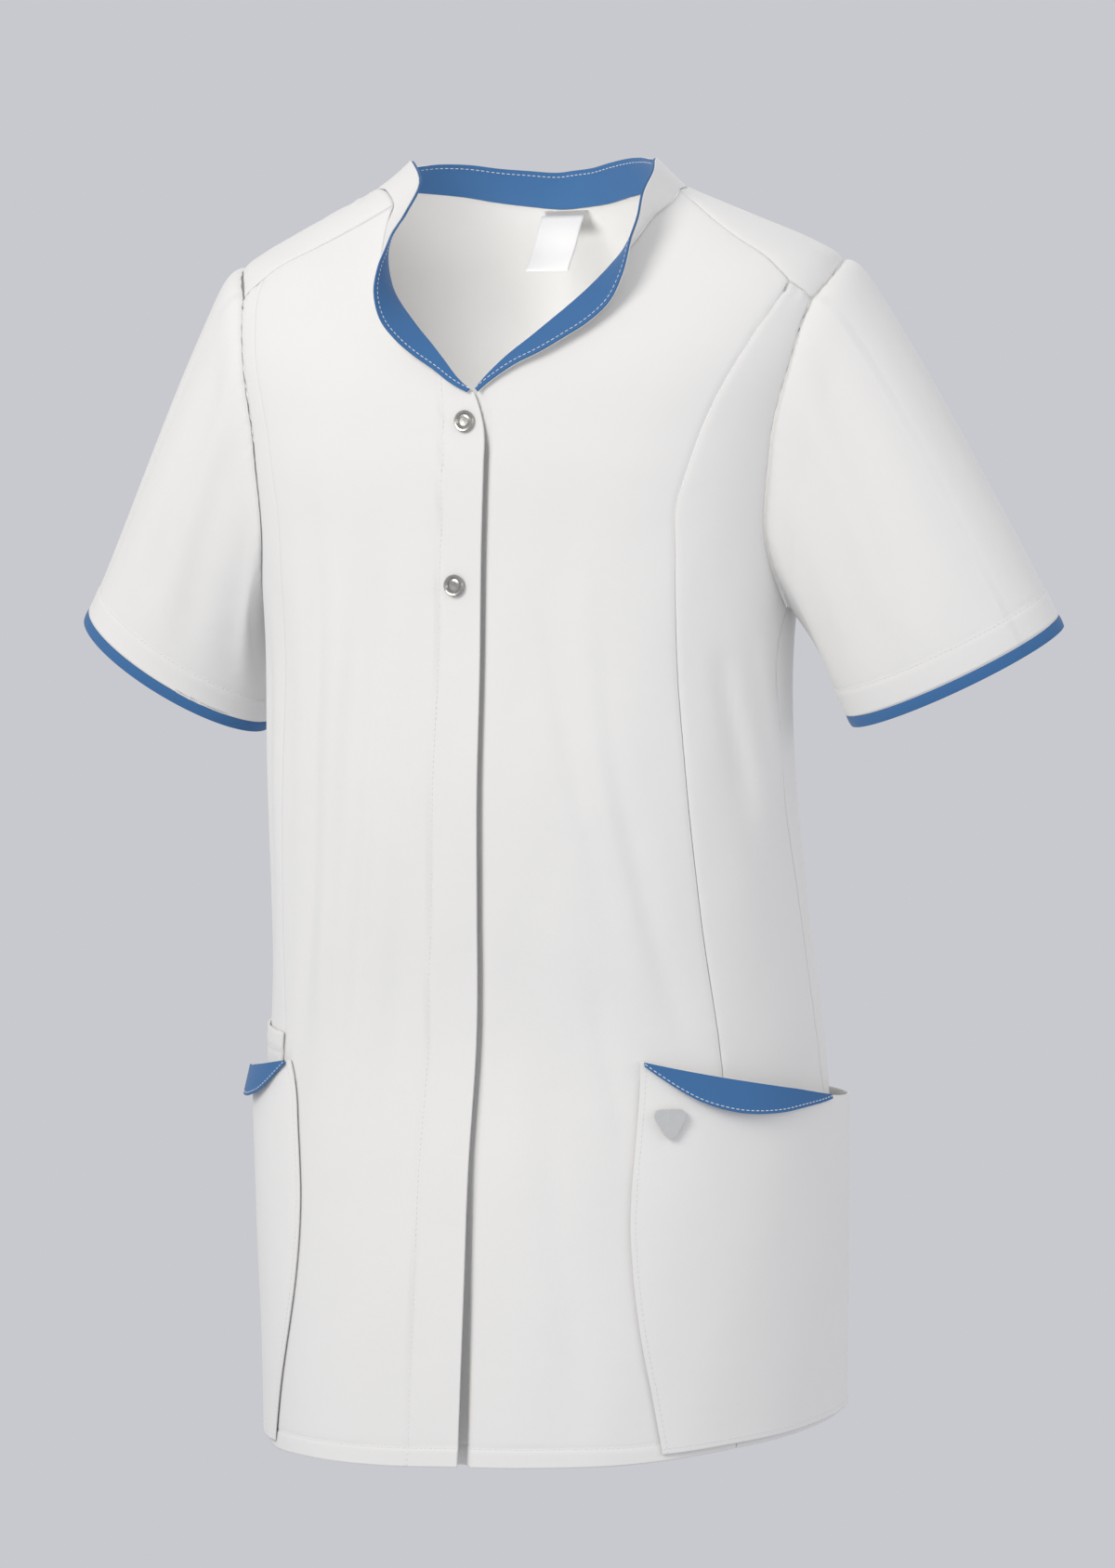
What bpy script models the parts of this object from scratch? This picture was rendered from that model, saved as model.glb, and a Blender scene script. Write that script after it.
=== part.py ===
"""Short-sleeved work tunic in its worn form, hollow and without a wearer.

Metres, +Z up, front towards -Y, the wearer's left towards +X. The origin is the middle of the neck base, level with
the points where the shoulders meet the neck: there the wearer's shoulders carry the garment.

The body cloth is one worn surface, given by horizontal rings. A place on it is an angle, in degrees from the front
centre and positive towards the wearer's left, and a height. Every panel is a patch of that surface between its seams,
and what lies on a panel is the same surface moved out. The sides differ a little, as the cloth hangs.
"""

import math
from collections import namedtuple

import bpy
import numpy as np
from mathutils import Matrix, Vector

COLLECTION = "work_tunic"

# Cloth and seams
WALL = 0.0010
SEAM_INSET = 0.0003
FRONT_TOP_INSET = 0.0009
LAYER_GAP = 0.0005
SPINE_TOP = -0.12
RELAX_STEPS = 24
HALVINGS = 26
FINE_STEPS = 160
SLOPE_STEP_DEG = 0.05
SLOPE_STEP_HEIGHT = 0.0002

# Rows and columns of the panels' grids
SIDE_SEAM_ROWS = 18
ARMHOLE_FRONT_ROWS = 10
ARMHOLE_BACK_ROWS = 12
FRONT_ROWS = SIDE_SEAM_ROWS + ARMHOLE_FRONT_ROWS
NECKLINE_COLUMNS = 12
SHOULDER_COLUMNS = 4
SHOULDER_TIP_COLUMNS = 1
SIDE_FRONT_COLUMNS = 5
BACK_NECK_COLUMNS = 8
UNDERLAP_COLUMNS = 2

BodyRing = namedtuple("BodyRing", "height half_width front back shift square_front square_back")
BODY_RINGS = (
    BodyRing(0.012, 0.066, 0.022, 0.040, -0.022, 2.0, 2.0),
    BodyRing(0.000, 0.096, 0.032, 0.046, -0.020, 2.0, 2.0),
    BodyRing(-0.010, 0.119, 0.042, 0.052, -0.017, 2.0, 2.0),
    BodyRing(-0.022, 0.147, 0.053, 0.058, -0.012, 2.0, 2.0),
    BodyRing(-0.034, 0.174, 0.064, 0.064, -0.006, 2.1, 2.1),
    BodyRing(-0.044, 0.191, 0.074, 0.070, -0.003, 2.2, 2.2),
    BodyRing(-0.055, 0.197, 0.082, 0.075, -0.002, 2.3, 2.2),
    BodyRing(-0.090, 0.196, 0.099, 0.087, -0.006, 2.4, 2.4),
    BodyRing(-0.150, 0.179, 0.105, 0.099, -0.012, 2.5, 2.5),
    BodyRing(-0.210, 0.168, 0.101, 0.099, -0.017, 2.5, 2.5),
    BodyRing(-0.265, 0.164, 0.100, 0.095, -0.020, 2.4, 2.4),
    BodyRing(-0.340, 0.165, 0.104, 0.093, -0.020, 2.3, 2.3),
    BodyRing(-0.420, 0.169, 0.111, 0.094, -0.012, 2.2, 2.2),
    BodyRing(-0.500, 0.174, 0.120, 0.100, -0.001, 2.2, 2.2),
    BodyRing(-0.580, 0.178, 0.136, 0.109, 0.003, 2.1, 2.1),
    BodyRing(-0.670, 0.179, 0.151, 0.119, 0.007, 2.1, 2.1),
    BodyRing(-0.780, 0.178, 0.165, 0.129, 0.011, 2.1, 2.1),
)

# Largest folds: long soft troughs and ridges of the worn cloth
Fold = namedtuple("Fold", "angle_top height_top angle_bottom height_bottom half_width depth")
FOLDS = (
    Fold(-34, -0.20, -40, -0.44, 7.0, 0.0030),
    Fold(-60, -0.24, -58, -0.48, 6.0, 0.0025),
    Fold(64, -0.27, 82, -0.42, 5.0, 0.0020),
    Fold(114, -0.24, 106, -0.38, 6.0, 0.0025),
    Fold(-114, -0.24, -106, -0.38, 6.0, 0.0025),
)

# Seams, for each side: angle from the front centre outward, and height
Seam = namedtuple("Seam", "left_angle left_height right_angle right_height")
NECKLINE = (
    Seam(7.2, -0.1210, -6.6, -0.1210),
    Seam(14.5, -0.1065, -1.0, -0.1130),
    Seam(25.8, -0.0895, 5.8, -0.1005),
    Seam(37.5, -0.0705, 19.2, -0.0810),
    Seam(45.2, -0.0570, 30.2, -0.0655),
    Seam(53.0, -0.0430, 41.2, -0.0465),
    Seam(59.2, -0.0340, 46.2, -0.0395),
    Seam(65.2, -0.0255, 52.5, -0.0285),
    Seam(84.0, -0.0060, 63.2, -0.0105),
)
BACK_NECK = (
    Seam(84.0, -0.0060, 63.2, -0.0105),
    Seam(94.0, -0.0030, 76.0, -0.0015),
    Seam(107.0, -0.0025, 94.0, 0.0005),
    Seam(126.0, -0.0050, 120.0, -0.0025),
    Seam(150.0, -0.0100, 148.0, -0.0085),
    Seam(180.0, -0.0120, 180.0, -0.0120),
)
SHOULDER = (
    Seam(84.0, -0.0060, 63.2, -0.0105),
    Seam(79.5, -0.0185, 66.0, -0.0245),
    Seam(75.5, -0.0390, 68.8, -0.0400),
    Seam(76.5, -0.0595, 70.5, -0.0520),
)
SHOULDER_TIP = (
    Seam(76.5, -0.0595, 70.5, -0.0520),
    Seam(80.0, -0.0700, 73.0, -0.0630),
)
ARMHOLE_FRONT = (
    Seam(80.0, -0.0700, 73.0, -0.0630),
    Seam(78.0, -0.0870, 70.0, -0.0800),
    Seam(76.8, -0.1050, 67.5, -0.0980),
    Seam(76.2, -0.1380, 65.8, -0.1380),
    Seam(77.5, -0.1750, 66.5, -0.1750),
    Seam(78.8, -0.2000, 68.0, -0.2050),
    Seam(82.0, -0.2200, 71.5, -0.2250),
    Seam(86.8, -0.2355, 77.5, -0.2400),
    Seam(92.0, -0.2480, 86.0, -0.2490),
)
ARMHOLE_BACK = (
    Seam(80.0, -0.0700, 73.0, -0.0630),
    Seam(86.0, -0.0555, 79.0, -0.0500),
    Seam(94.0, -0.0470, 88.0, -0.0445),
    Seam(103.0, -0.0570, 99.0, -0.0550),
    Seam(109.0, -0.0900, 108.0, -0.0900),
    Seam(111.0, -0.1400, 110.0, -0.1400),
    Seam(108.0, -0.1900, 107.0, -0.1900),
    Seam(101.0, -0.2300, 98.0, -0.2300),
    Seam(92.0, -0.2480, 86.0, -0.2490),
)
SIDE_SEAM = (
    Seam(92.0, -0.2480, 86.0, -0.2490),
    Seam(88.0, -0.2700, 86.0, -0.2800),
    Seam(87.5, -0.3100, 86.5, -0.3200),
    Seam(89.0, -0.3600, 87.0, -0.3700),
    Seam(91.0, -0.4200, 88.0, -0.4300),
    Seam(92.0, -0.5000, 89.0, -0.5100),
    Seam(93.0, -0.6000, 90.0, -0.6200),
    Seam(93.0, -0.7310, 90.0, -0.7570),
)
PRINCESS = (
    Seam(76.5, -0.0595, 70.5, -0.0520),
    Seam(70.8, -0.0850, 65.5, -0.0800),
    Seam(66.0, -0.1105, 61.5, -0.1100),
    Seam(60.2, -0.1645, 58.5, -0.1650),
    Seam(58.8, -0.1830, 58.2, -0.1830),
    Seam(59.5, -0.2165, 59.0, -0.2165),
    Seam(61.5, -0.2975, 61.0, -0.2975),
    Seam(62.5, -0.3750, 62.5, -0.3750),
    Seam(63.0, -0.4515, 62.0, -0.4515),
    Seam(63.5, -0.5150, 59.0, -0.5150),
    Seam(63.0, -0.6000, 57.0, -0.6000),
    Seam(61.0, -0.7325, 58.0, -0.7565),
)
HEM = (
    Seam(0.0, -0.7410, 0.0, -0.7410),
    Seam(20.0, -0.7385, 13.0, -0.7445),
    Seam(38.0, -0.7365, 38.5, -0.7505),
    Seam(61.0, -0.7325, 58.0, -0.7565),
    Seam(93.0, -0.7310, 90.0, -0.7570),
    Seam(130.0, -0.7370, 130.0, -0.7530),
    Seam(180.0, -0.7450, 180.0, -0.7450),
)

# Front closing: the right front's free edge, and the left front's edge hidden under it
Place = namedtuple("Place", "angle height")
FRONT_EDGE = (
    Place(6.9, -0.1210),
    Place(10.0, -0.1350),
    Place(10.8, -0.1480),
    Place(10.7, -0.1620),
    Place(9.8, -0.2130),
    Place(9.2, -0.3145),
    Place(7.0, -0.4295),
    Place(4.4, -0.5640),
    Place(4.0, -0.6600),
    Place(3.5, -0.7400),
)
UNDERLAP_DEG = 16.0
UNDERLAP_DROP = 0.018
UNDERLAP_DEPTH = 0.0018
UNDERLAP_CLEAR_DEG = 1.0
UNDERLAP_FADE_DEG = 8.0

# Stand collar and lapels, along the neckline: 0 at the front point, 1 at the shoulder seam, 2 at the back centre.
# The turn is from the cloth's own direction (0) over its outer side (90) to lying back on it (180).
CollarRow = namedtuple("CollarRow", "along width left_turn right_turn lift")
COLLAR = (
    CollarRow(0.00, 0.0025, 165, 160, 0.0007),
    CollarRow(0.14, 0.0075, 165, 160, 0.0007),
    CollarRow(0.29, 0.0155, 167, 148, 0.0007),
    CollarRow(0.43, 0.0210, 168, 130, 0.0007),
    CollarRow(0.50, 0.0220, 163, 111, 0.0007),
    CollarRow(0.57, 0.0225, 146, 90, 0.0005),
    CollarRow(0.64, 0.0225, 126, 73, 0.0003),
    CollarRow(0.71, 0.0225, 112, 57, 0.0001),
    CollarRow(0.79, 0.0225, 95, 45, 0.0000),
    CollarRow(0.86, 0.0225, 75, 37, 0.0000),
    CollarRow(1.00, 0.0230, 38, 17, 0.0000),
    CollarRow(1.12, 0.0235, 22, 12, 0.0000),
    CollarRow(1.50, 0.0240, 15, 9, 0.0000),
    CollarRow(2.00, 0.0240, 14, 14, 0.0000),
)
COLLAR_END_SHARE = 0.15
COLLAR_ROWS = 3
COLLAR_SEAM_GAP = 0.0005

# Sleeves: the end's centre, the rise of its outer side and the drop of its front side
SleeveEnd = namedtuple("SleeveEnd", "across back height rise_deg drop_deg")
SLEEVE_END = {1: SleeveEnd(0.2558, 0.0116, -0.2812, 23.0, 15.0), -1: SleeveEnd(0.2548, 0.0102, -0.2879, 31.7, 1.0)}
SLEEVE_END_HALF_WIDTH = 0.069
SLEEVE_END_HALF_DEPTH = 0.053
SLEEVE_ROWS = 11
SLEEVE_CAP_REACH = 0.085
SLEEVE_UNDER_REACH = 0.050
SLEEVE_END_REACH = 0.150
SLEEVE_START_GAP = 0.0009
CUFF_EDGE_WIDTH = 0.0068
CUFF_EDGE_GAP = 0.0003

# Side pockets
POCKET_FRONT = (
    Seam(46.8, -0.5045, 55.0, -0.5185),
    Seam(45.8, -0.5260, 52.5, -0.5300),
    Seam(44.0, -0.5565, 49.0, -0.5605),
    Seam(42.0, -0.5955, 45.8, -0.5930),
    Seam(41.8, -0.6305, 44.8, -0.6400),
    Seam(42.8, -0.6720, 46.5, -0.6800),
    Seam(44.0, -0.6970, 49.5, -0.7150),
    Seam(45.4, -0.7310, 52.5, -0.7500),
)
POCKET_MOUTH = (
    Seam(46.8, -0.5045, 55.0, -0.5185),
    Seam(53.0, -0.5085, 61.0, -0.5225),
    Seam(63.2, -0.5155, 68.0, -0.5270),
    Seam(76.5, -0.5255, 80.0, -0.5330),
    Seam(88.0, -0.5350, 92.0, -0.5400),
    Seam(99.0, -0.5390, 100.0, -0.5430),
    Seam(111.0, -0.5400, 110.0, -0.5440),
)
POCKET_REAR_HEM = Seam(111.0, -0.7300, 110.0, -0.7530)
POCKET_ROWS = 12
POCKET_COLUMNS = 11
PocketBulge = namedtuple("PocketBulge", "along mouth hem")
POCKET_BULGE = (
    PocketBulge(0.00, 0.0012, 0.0012),
    PocketBulge(0.06, 0.0032, 0.0018),
    PocketBulge(0.15, 0.0058, 0.0024),
    PocketBulge(0.50, 0.0120, 0.0032),
    PocketBulge(0.75, 0.0120, 0.0032),
    PocketBulge(1.00, 0.0012, 0.0012),
)
FlapRow = namedtuple("FlapRow", "along width flare")
POCKET_FLAP = (
    FlapRow(0.01, 0.0025, 0.0004),
    FlapRow(0.07, 0.0090, 0.0008),
    FlapRow(0.14, 0.0155, 0.0020),
    FlapRow(0.24, 0.0190, 0.0045),
    FlapRow(0.36, 0.0165, 0.0040),
    FlapRow(0.50, 0.0085, 0.0015),
    FlapRow(0.60, 0.0025, 0.0004),
)
FLAP_COLUMNS = 12
FLAP_ROWS = 3
FLAP_CLEARANCE = 0.0018

# Small pocket above the wearer's right pocket
PHONE_POCKET_ANGLES = (-59.5, -84.0)
PHONE_POCKET_HEIGHTS = (-0.6250, -0.5035)
PHONE_POCKET_OUT = 0.0010
PHONE_POCKET_COLUMNS = 5
PHONE_POCKET_ROWS = 6

# Neck label, on the inside of the back below the collar
LABEL_WIDTH = 0.028
LABEL_LENGTH = 0.033
LABEL_THICKNESS = 0.0010
LABEL_TOP = Place(179.0, -0.0155)
LABEL_LEAN_DEG = 14.0
LABEL_INSIDE = 0.0035

# Snap caps, on the closing, and the badge on the wearer's left pocket
SNAPS = {"snap_upper": Place(4.2, -0.1375), "snap_lower": Place(0.6, -0.2315)}
SNAP_RADIUS = 0.0064
SNAP_HEIGHT = 0.0024
BADGE_PLACE = Place(51.4, -0.5390)
BADGE_RADIUS = 0.0100
BADGE_CORNER = 0.0040
BADGE_THICKNESS = 0.0016
BADGE_LAY = 0.0012
BADGE_ALONG = 0.10
BADGE_TILT_DEG = 8.0

WHITE = (0.82, 0.82, 0.82)
BLUE = (0.055, 0.170, 0.440)
METAL = (0.62, 0.60, 0.57)


def material(name, colour, roughness, metallic=0.0):
    """A Principled material in the part's colour."""
    made = bpy.data.materials.new(name)
    made.use_nodes = True
    shader = made.node_tree.nodes["Principled BSDF"]
    shader.inputs["Base Color"].default_value = (*colour, 1.0)
    shader.inputs["Roughness"].default_value = roughness
    shader.inputs["Metallic"].default_value = metallic
    return made


# ---- The worn surface ----


def smooth_interp(at, knots, values):
    """A smooth curve through the knots, with each knot's slope from its two neighbours."""
    knots = np.asarray(knots, float)
    values = np.asarray(values, float)
    steps = np.diff(knots)
    rises = np.diff(values) / steps
    slopes = np.empty_like(values)
    slopes[0] = rises[0]
    slopes[-1] = rises[-1]
    slopes[1:-1] = (rises[:-1] * steps[1:] + rises[1:] * steps[:-1]) / (steps[:-1] + steps[1:])
    i = np.clip(np.searchsorted(knots, at) - 1, 0, len(knots) - 2)
    step = knots[i + 1] - knots[i]
    t = np.clip((at - knots[i]) / step, 0.0, 1.0)
    start = (1 + 2 * t) * (1 - t) ** 2 * values[i] + t * (1 - t) ** 2 * step * slopes[i]
    end = t * t * (3 - 2 * t) * values[i + 1] + t * t * (t - 1) * step * slopes[i + 1]
    return start + end


def table_column(rows, knot_name, value_name, at):
    """A column of a table, read smoothly at values of its knot column."""
    rows = sorted(rows, key=lambda row: getattr(row, knot_name))
    knots = [getattr(row, knot_name) for row in rows]
    return smooth_interp(at, knots, [getattr(row, value_name) for row in rows])


def fold_depth(angle, height):
    """How far the folds draw the cloth in at a place."""
    depth = np.zeros_like(angle)
    wrapped = (angle + 180.0) % 360.0 - 180.0
    for fold in FOLDS:
        down = (fold.height_top - height) / (fold.height_top - fold.height_bottom)
        centre = fold.angle_top + (fold.angle_bottom - fold.angle_top) * down
        across = np.exp(-(((wrapped - centre) / fold.half_width) ** 2))
        lengthwise = np.exp(-((2.2 * (down - 0.5)) ** 4))
        depth = depth + fold.depth * across * lengthwise
    return depth


def body_surface(angle, height):
    """Points of the worn surface at places given in degrees and metres."""
    angle, height = np.broadcast_arrays(np.asarray(angle, float), np.asarray(height, float))
    turn = np.radians(angle)
    ahead = np.cos(turn) > 0
    half_width = table_column(BODY_RINGS, "height", "half_width", height)
    front = table_column(BODY_RINGS, "height", "front", height)
    back = table_column(BODY_RINGS, "height", "back", height)
    square_front = table_column(BODY_RINGS, "height", "square_front", height)
    square_back = table_column(BODY_RINGS, "height", "square_back", height)
    depth = np.where(ahead, front, back)
    square = np.where(ahead, square_front, square_back)
    across = np.abs(np.sin(turn)) / half_width
    along = np.abs(np.cos(turn)) / depth
    radius = (across**square + along**square) ** (-1.0 / square) - fold_depth(angle, height)
    shift = table_column(BODY_RINGS, "height", "shift", height)
    return np.stack([radius * np.sin(turn), shift - radius * np.cos(turn), height + 0.0 * radius], -1)


def unit(vectors):
    return vectors / np.linalg.norm(vectors, axis=-1, keepdims=True)


def body_normal(angle, height):
    """Outward directions of the worn surface."""
    angle, height = np.broadcast_arrays(np.asarray(angle, float), np.asarray(height, float))
    round_step = body_surface(angle + SLOPE_STEP_DEG, height) - body_surface(angle - SLOPE_STEP_DEG, height)
    up_step = body_surface(angle, height + SLOPE_STEP_HEIGHT) - body_surface(angle, height - SLOPE_STEP_HEIGHT)
    return unit(np.cross(round_step, up_step))


def body_points(places, out=0.0):
    """Points over places, an array whose last axis is (angle, height), moved out along the surface's normal."""
    angle, height = places[..., 0], places[..., 1]
    out = np.broadcast_to(np.asarray(out, float), angle.shape)
    return body_surface(angle, height) + body_normal(angle, height) * out[..., None]


def places_of(points, turns=0.0):
    """Places of the worn surface that lie in line with points, seen from the garment's middle.

    turns is an angle near the answer, so that places behind the back centre run on past 180 degrees.
    """
    points = np.asarray(points, float)
    spine_height = np.minimum(points[..., 2], SPINE_TOP)
    spine = np.stack([0 * spine_height, table_column(BODY_RINGS, "height", "shift", spine_height), spine_height], -1)
    ray = points - spine
    low = np.zeros(points.shape[:-1])
    high = np.full(points.shape[:-1], 3.0)
    for _ in range(HALVINGS):
        middle = (low + high) / 2
        trial = spine + ray * middle[..., None]
        shift = table_column(BODY_RINGS, "height", "shift", trial[..., 2])
        angle = np.degrees(np.arctan2(trial[..., 0], shift - trial[..., 1]))
        height = np.minimum(trial[..., 2], BODY_RINGS[0].height)
        reach = np.hypot(trial[..., 0], trial[..., 1] - shift)
        surface = body_surface(angle, height)
        inside = reach < np.hypot(surface[..., 0], surface[..., 1] - shift)
        inside &= trial[..., 2] <= BODY_RINGS[0].height
        low = np.where(inside, middle, low)
        high = np.where(inside, high, middle)
    angle = turns + (angle - turns + 180.0) % 360.0 - 180.0
    return np.stack([angle, height], -1)


# ---- Seams and panels ----


def seam_rows(table, side):
    """A seam table's (angle, height) rows for one side: 1 is the wearer's left, -1 the right."""
    if side > 0:
        return np.array([(row.left_angle, row.left_height) for row in table])
    return np.array([(-row.right_angle, row.right_height) for row in table])


def running_length(points):
    return np.concatenate([[0.0], np.cumsum(np.linalg.norm(np.diff(points, axis=0), axis=1))])


def seam_line(rows, count):
    """count + 1 places, evenly spaced along the smooth line through the rows."""
    rows = np.asarray(rows, float)
    knots = running_length(body_surface(rows[:, 0], rows[:, 1]))
    fine = np.linspace(0.0, knots[-1], FINE_STEPS)
    places = np.stack([smooth_interp(fine, knots, rows[:, 0]), smooth_interp(fine, knots, rows[:, 1])], -1)
    lengths = running_length(body_surface(places[:, 0], places[:, 1]))
    even = np.linspace(0.0, lengths[-1], count + 1)
    return np.stack([np.interp(even, lengths, places[:, 0]), np.interp(even, lengths, places[:, 1])], -1)


def joined(*lines):
    """Lines that follow each other, as one line."""
    return np.concatenate([lines[0]] + [line[1:] for line in lines[1:]])


def hem_height(angle):
    angles = []
    heights = []
    for side, table in ((-1, HEM[:0:-1]), (1, HEM)):
        for row_angle, row_height in seam_rows(table, side):
            angles.append(row_angle)
            heights.append(row_height)
    wrapped = (np.asarray(angle, float) + 180.0) % 360.0 - 180.0
    return smooth_interp(wrapped, angles, heights)


def hem_line(start, end, shares):
    """Hem places between two angles, at shares of the way."""
    angle = start + (end - start) * np.asarray(shares)
    return np.stack([angle, hem_height(angle)], -1)


def shares_of(line):
    lengths = running_length(body_surface(line[:, 0], line[:, 1]))
    return lengths / lengths[-1]


def patch(bottom, top, left, right):
    """A grid of places between four edges: rows run from bottom to top, columns from left to right.

    Its inner places are then evened out as a harmonic grid, in which lines never cross, also beside a hollow edge.
    """
    edges = [body_surface(line[:, 0], line[:, 1]) for line in (bottom, top, left, right)]
    low, high, start, end = edges
    u = np.linspace(0.0, 1.0, len(low))[None, :, None]
    v = np.linspace(0.0, 1.0, len(start))[:, None, None]
    rise = (1 - v) * low[None] + v * high[None]
    cross = (1 - u) * start[:, None] + u * end[:, None]
    corners = (1 - v) * ((1 - u) * low[0] + u * low[-1]) + v * ((1 - u) * high[0] + u * high[-1])
    near = (1 - u[..., 0]) * left[:, None, 0] + u[..., 0] * right[:, None, 0]
    grid = places_of(rise + cross - corners, near)
    grid[0], grid[-1], grid[:, 0], grid[:, -1] = bottom, top, left, right
    for _ in range(RELAX_STEPS):
        points = body_surface(grid[..., 0], grid[..., 1])
        before, after, below, above = points[1:-1, :-2], points[1:-1, 2:], points[:-2, 1:-1], points[2:, 1:-1]
        along = (after - before) / 2
        up = (above - below) / 2
        skew = (points[2:, 2:] - points[2:, :-2] - points[:-2, 2:] + points[:-2, :-2]) / 4
        along_square = (along * along).sum(-1, keepdims=True)
        up_square = (up * up).sum(-1, keepdims=True)
        lean = (along * up).sum(-1, keepdims=True)
        even = up_square * (before + after) + along_square * (below + above) - 2 * lean * skew
        even = even / (2 * (up_square + along_square))
        grid[1:-1, 1:-1] = places_of(even, grid[1:-1, 1:-1, 0])
    return grid


def inset(places, by=SEAM_INSET, sides="bottom top left right"):
    """The grid drawn back from its seams, so that neighbours don't touch."""
    moved = places.copy()
    edges = {
        "bottom": (np.s_[0], np.s_[1]),
        "top": (np.s_[-1], np.s_[-2]),
        "left": (np.s_[:, 0], np.s_[:, 1]),
        "right": (np.s_[:, -1], np.s_[:, -2]),
    }
    for name in sides.split():
        edge, inner = edges[name]
        points = body_points(moved[edge])
        run = unit(np.gradient(points, axis=0))
        step = body_points(moved[inner]) - points
        step = unit(step - run * (step * run).sum(-1, keepdims=True))
        moved[edge] = places_of(points + step * by, moved[edge][:, 0])
    return moved


def front_grid(side):
    """Places of a front: from the closing to the princess seam, from the hem to the neckline and shoulder."""
    neckline = seam_line(seam_rows(NECKLINE, side), NECKLINE_COLUMNS)
    shoulder = seam_line(seam_rows(SHOULDER, side), SHOULDER_COLUMNS)
    princess = seam_line(seam_rows(PRINCESS[::-1], side), FRONT_ROWS)
    edge_rows = np.array(FRONT_EDGE[::-1])
    if side > 0:
        edge_rows[:, 0] -= UNDERLAP_DEG
        edge_rows[-1, 1] -= UNDERLAP_DROP
        first = np.array([edge_rows[-1], neckline[0]])
        neckline = joined(seam_line(first, UNDERLAP_COLUMNS), neckline)
    else:
        neckline[0] = edge_rows[-1]
    edge = seam_line(edge_rows, FRONT_ROWS)
    top = joined(neckline, shoulder)
    bottom = hem_line(edge[0, 0], princess[0, 0], shares_of(top))
    edge[0], princess[0] = bottom[0], bottom[-1]
    return patch(bottom, top, edge, princess)


def underlap_out(places):
    """How far the left front lies under the right one."""
    edge_angle = table_column(FRONT_EDGE, "height", "angle", places[..., 1])
    past = (places[..., 0] - edge_angle - UNDERLAP_CLEAR_DEG) / UNDERLAP_FADE_DEG
    share = np.clip(1.0 - past, 0.0, 1.0)
    return -UNDERLAP_DEPTH * share * share * (3 - 2 * share)


def side_front_grid(side):
    """Places of a side front: from the princess seam to the side seam and the front of the armhole."""
    princess = seam_line(seam_rows(PRINCESS[::-1], side), FRONT_ROWS)
    side_seam = seam_line(seam_rows(SIDE_SEAM[::-1], side), SIDE_SEAM_ROWS)
    armhole = seam_line(seam_rows(ARMHOLE_FRONT[::-1], side), ARMHOLE_FRONT_ROWS)
    outer = joined(side_seam, armhole)
    top = seam_line(seam_rows(SHOULDER_TIP, side), SIDE_FRONT_COLUMNS)
    bottom = hem_line(princess[0, 0], outer[0, 0], shares_of(top))
    princess[0], outer[0] = bottom[0], bottom[-1]
    return patch(bottom, top, princess, outer)


def back_edge(side):
    side_seam = seam_line(seam_rows(SIDE_SEAM[::-1], side), SIDE_SEAM_ROWS)
    armhole = seam_line(seam_rows(ARMHOLE_BACK[::-1], side), ARMHOLE_BACK_ROWS)
    return joined(side_seam, armhole)


def back_top(side):
    tip = seam_line(seam_rows(SHOULDER_TIP[::-1], side), SHOULDER_TIP_COLUMNS)
    shoulder = seam_line(seam_rows(SHOULDER[::-1], side), SHOULDER_COLUMNS)
    neck = seam_line(seam_rows(BACK_NECK, side), BACK_NECK_COLUMNS)
    return joined(tip, shoulder, neck)


def back_grid():
    """Places of the back: side seam to side seam, and over the shoulders to the forward shoulder seams."""
    whole_turn = np.array([360.0, 0.0])
    left, right = back_edge(1), back_edge(-1) + whole_turn
    left_top, right_top = back_top(1), back_top(-1) + whole_turn
    top = joined(left_top, right_top[::-1])
    half = shares_of(left_top) / 2
    shares = np.concatenate([half, 1.0 - half[-2::-1]])
    bottom = hem_line(left[0, 0], right[0, 0], shares)
    left[0], right[0] = bottom[0], bottom[-1]
    return patch(bottom, top, left, right)


# ---- Sheets ----


def sheet(name, points, looks, wall=WALL, closed=False, away_from=None):
    """A wall of cloth: an open surface through a grid of points, which Solidify thickens inward."""
    rows, columns = points.shape[:2]
    across = columns if closed else columns - 1
    faces = []
    for row in range(rows - 1):
        for column in range(across):
            after = (column + 1) % columns
            first, second = row * columns + column, row * columns + after
            faces.append((first, second, second + columns, first + columns))
    flat = points.reshape(-1, 3)
    mesh = bpy.data.meshes.new(name)
    mesh.from_pydata([tuple(point) for point in flat], [], faces)
    if away_from is not None:
        middles = np.array([flat[list(face)].mean(axis=0) for face in faces])
        normals = np.array([polygon.normal for polygon in mesh.polygons])
        away = middles - np.asarray(away_from(middles))
        if (normals * away).sum() < 0:
            mesh.flip_normals()
    mesh.shade_smooth()
    made = bpy.data.objects.new(name, mesh)
    made.data.materials.append(looks)
    bpy.data.collections[COLLECTION].objects.link(made)
    shell = made.modifiers.new("Cloth", "SOLIDIFY")
    shell.thickness = wall
    shell.offset = -1.0
    return made


def body_middle(points):
    """The garment's upright middle line at the height of each point."""
    height = points[:, 2]
    return np.stack([0 * height, 0 * height, np.minimum(height, SPINE_TOP)], -1)


def add_panels(white):
    for side, name in ((1, "left"), (-1, "right")):
        grid = inset(front_grid(side), sides="bottom left right")
        grid = inset(grid, FRONT_TOP_INSET, "top")
        out = underlap_out(grid) if side > 0 else 0.0
        sheet(f"front_{name}", body_points(grid, out), white, away_from=body_middle)
        grid = inset(side_front_grid(side))
        sheet(f"side_front_{name}", body_points(grid), white, away_from=body_middle)
    sheet("back", body_points(inset(back_grid())), white, away_from=body_middle)


# ---- Collar ----


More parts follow.
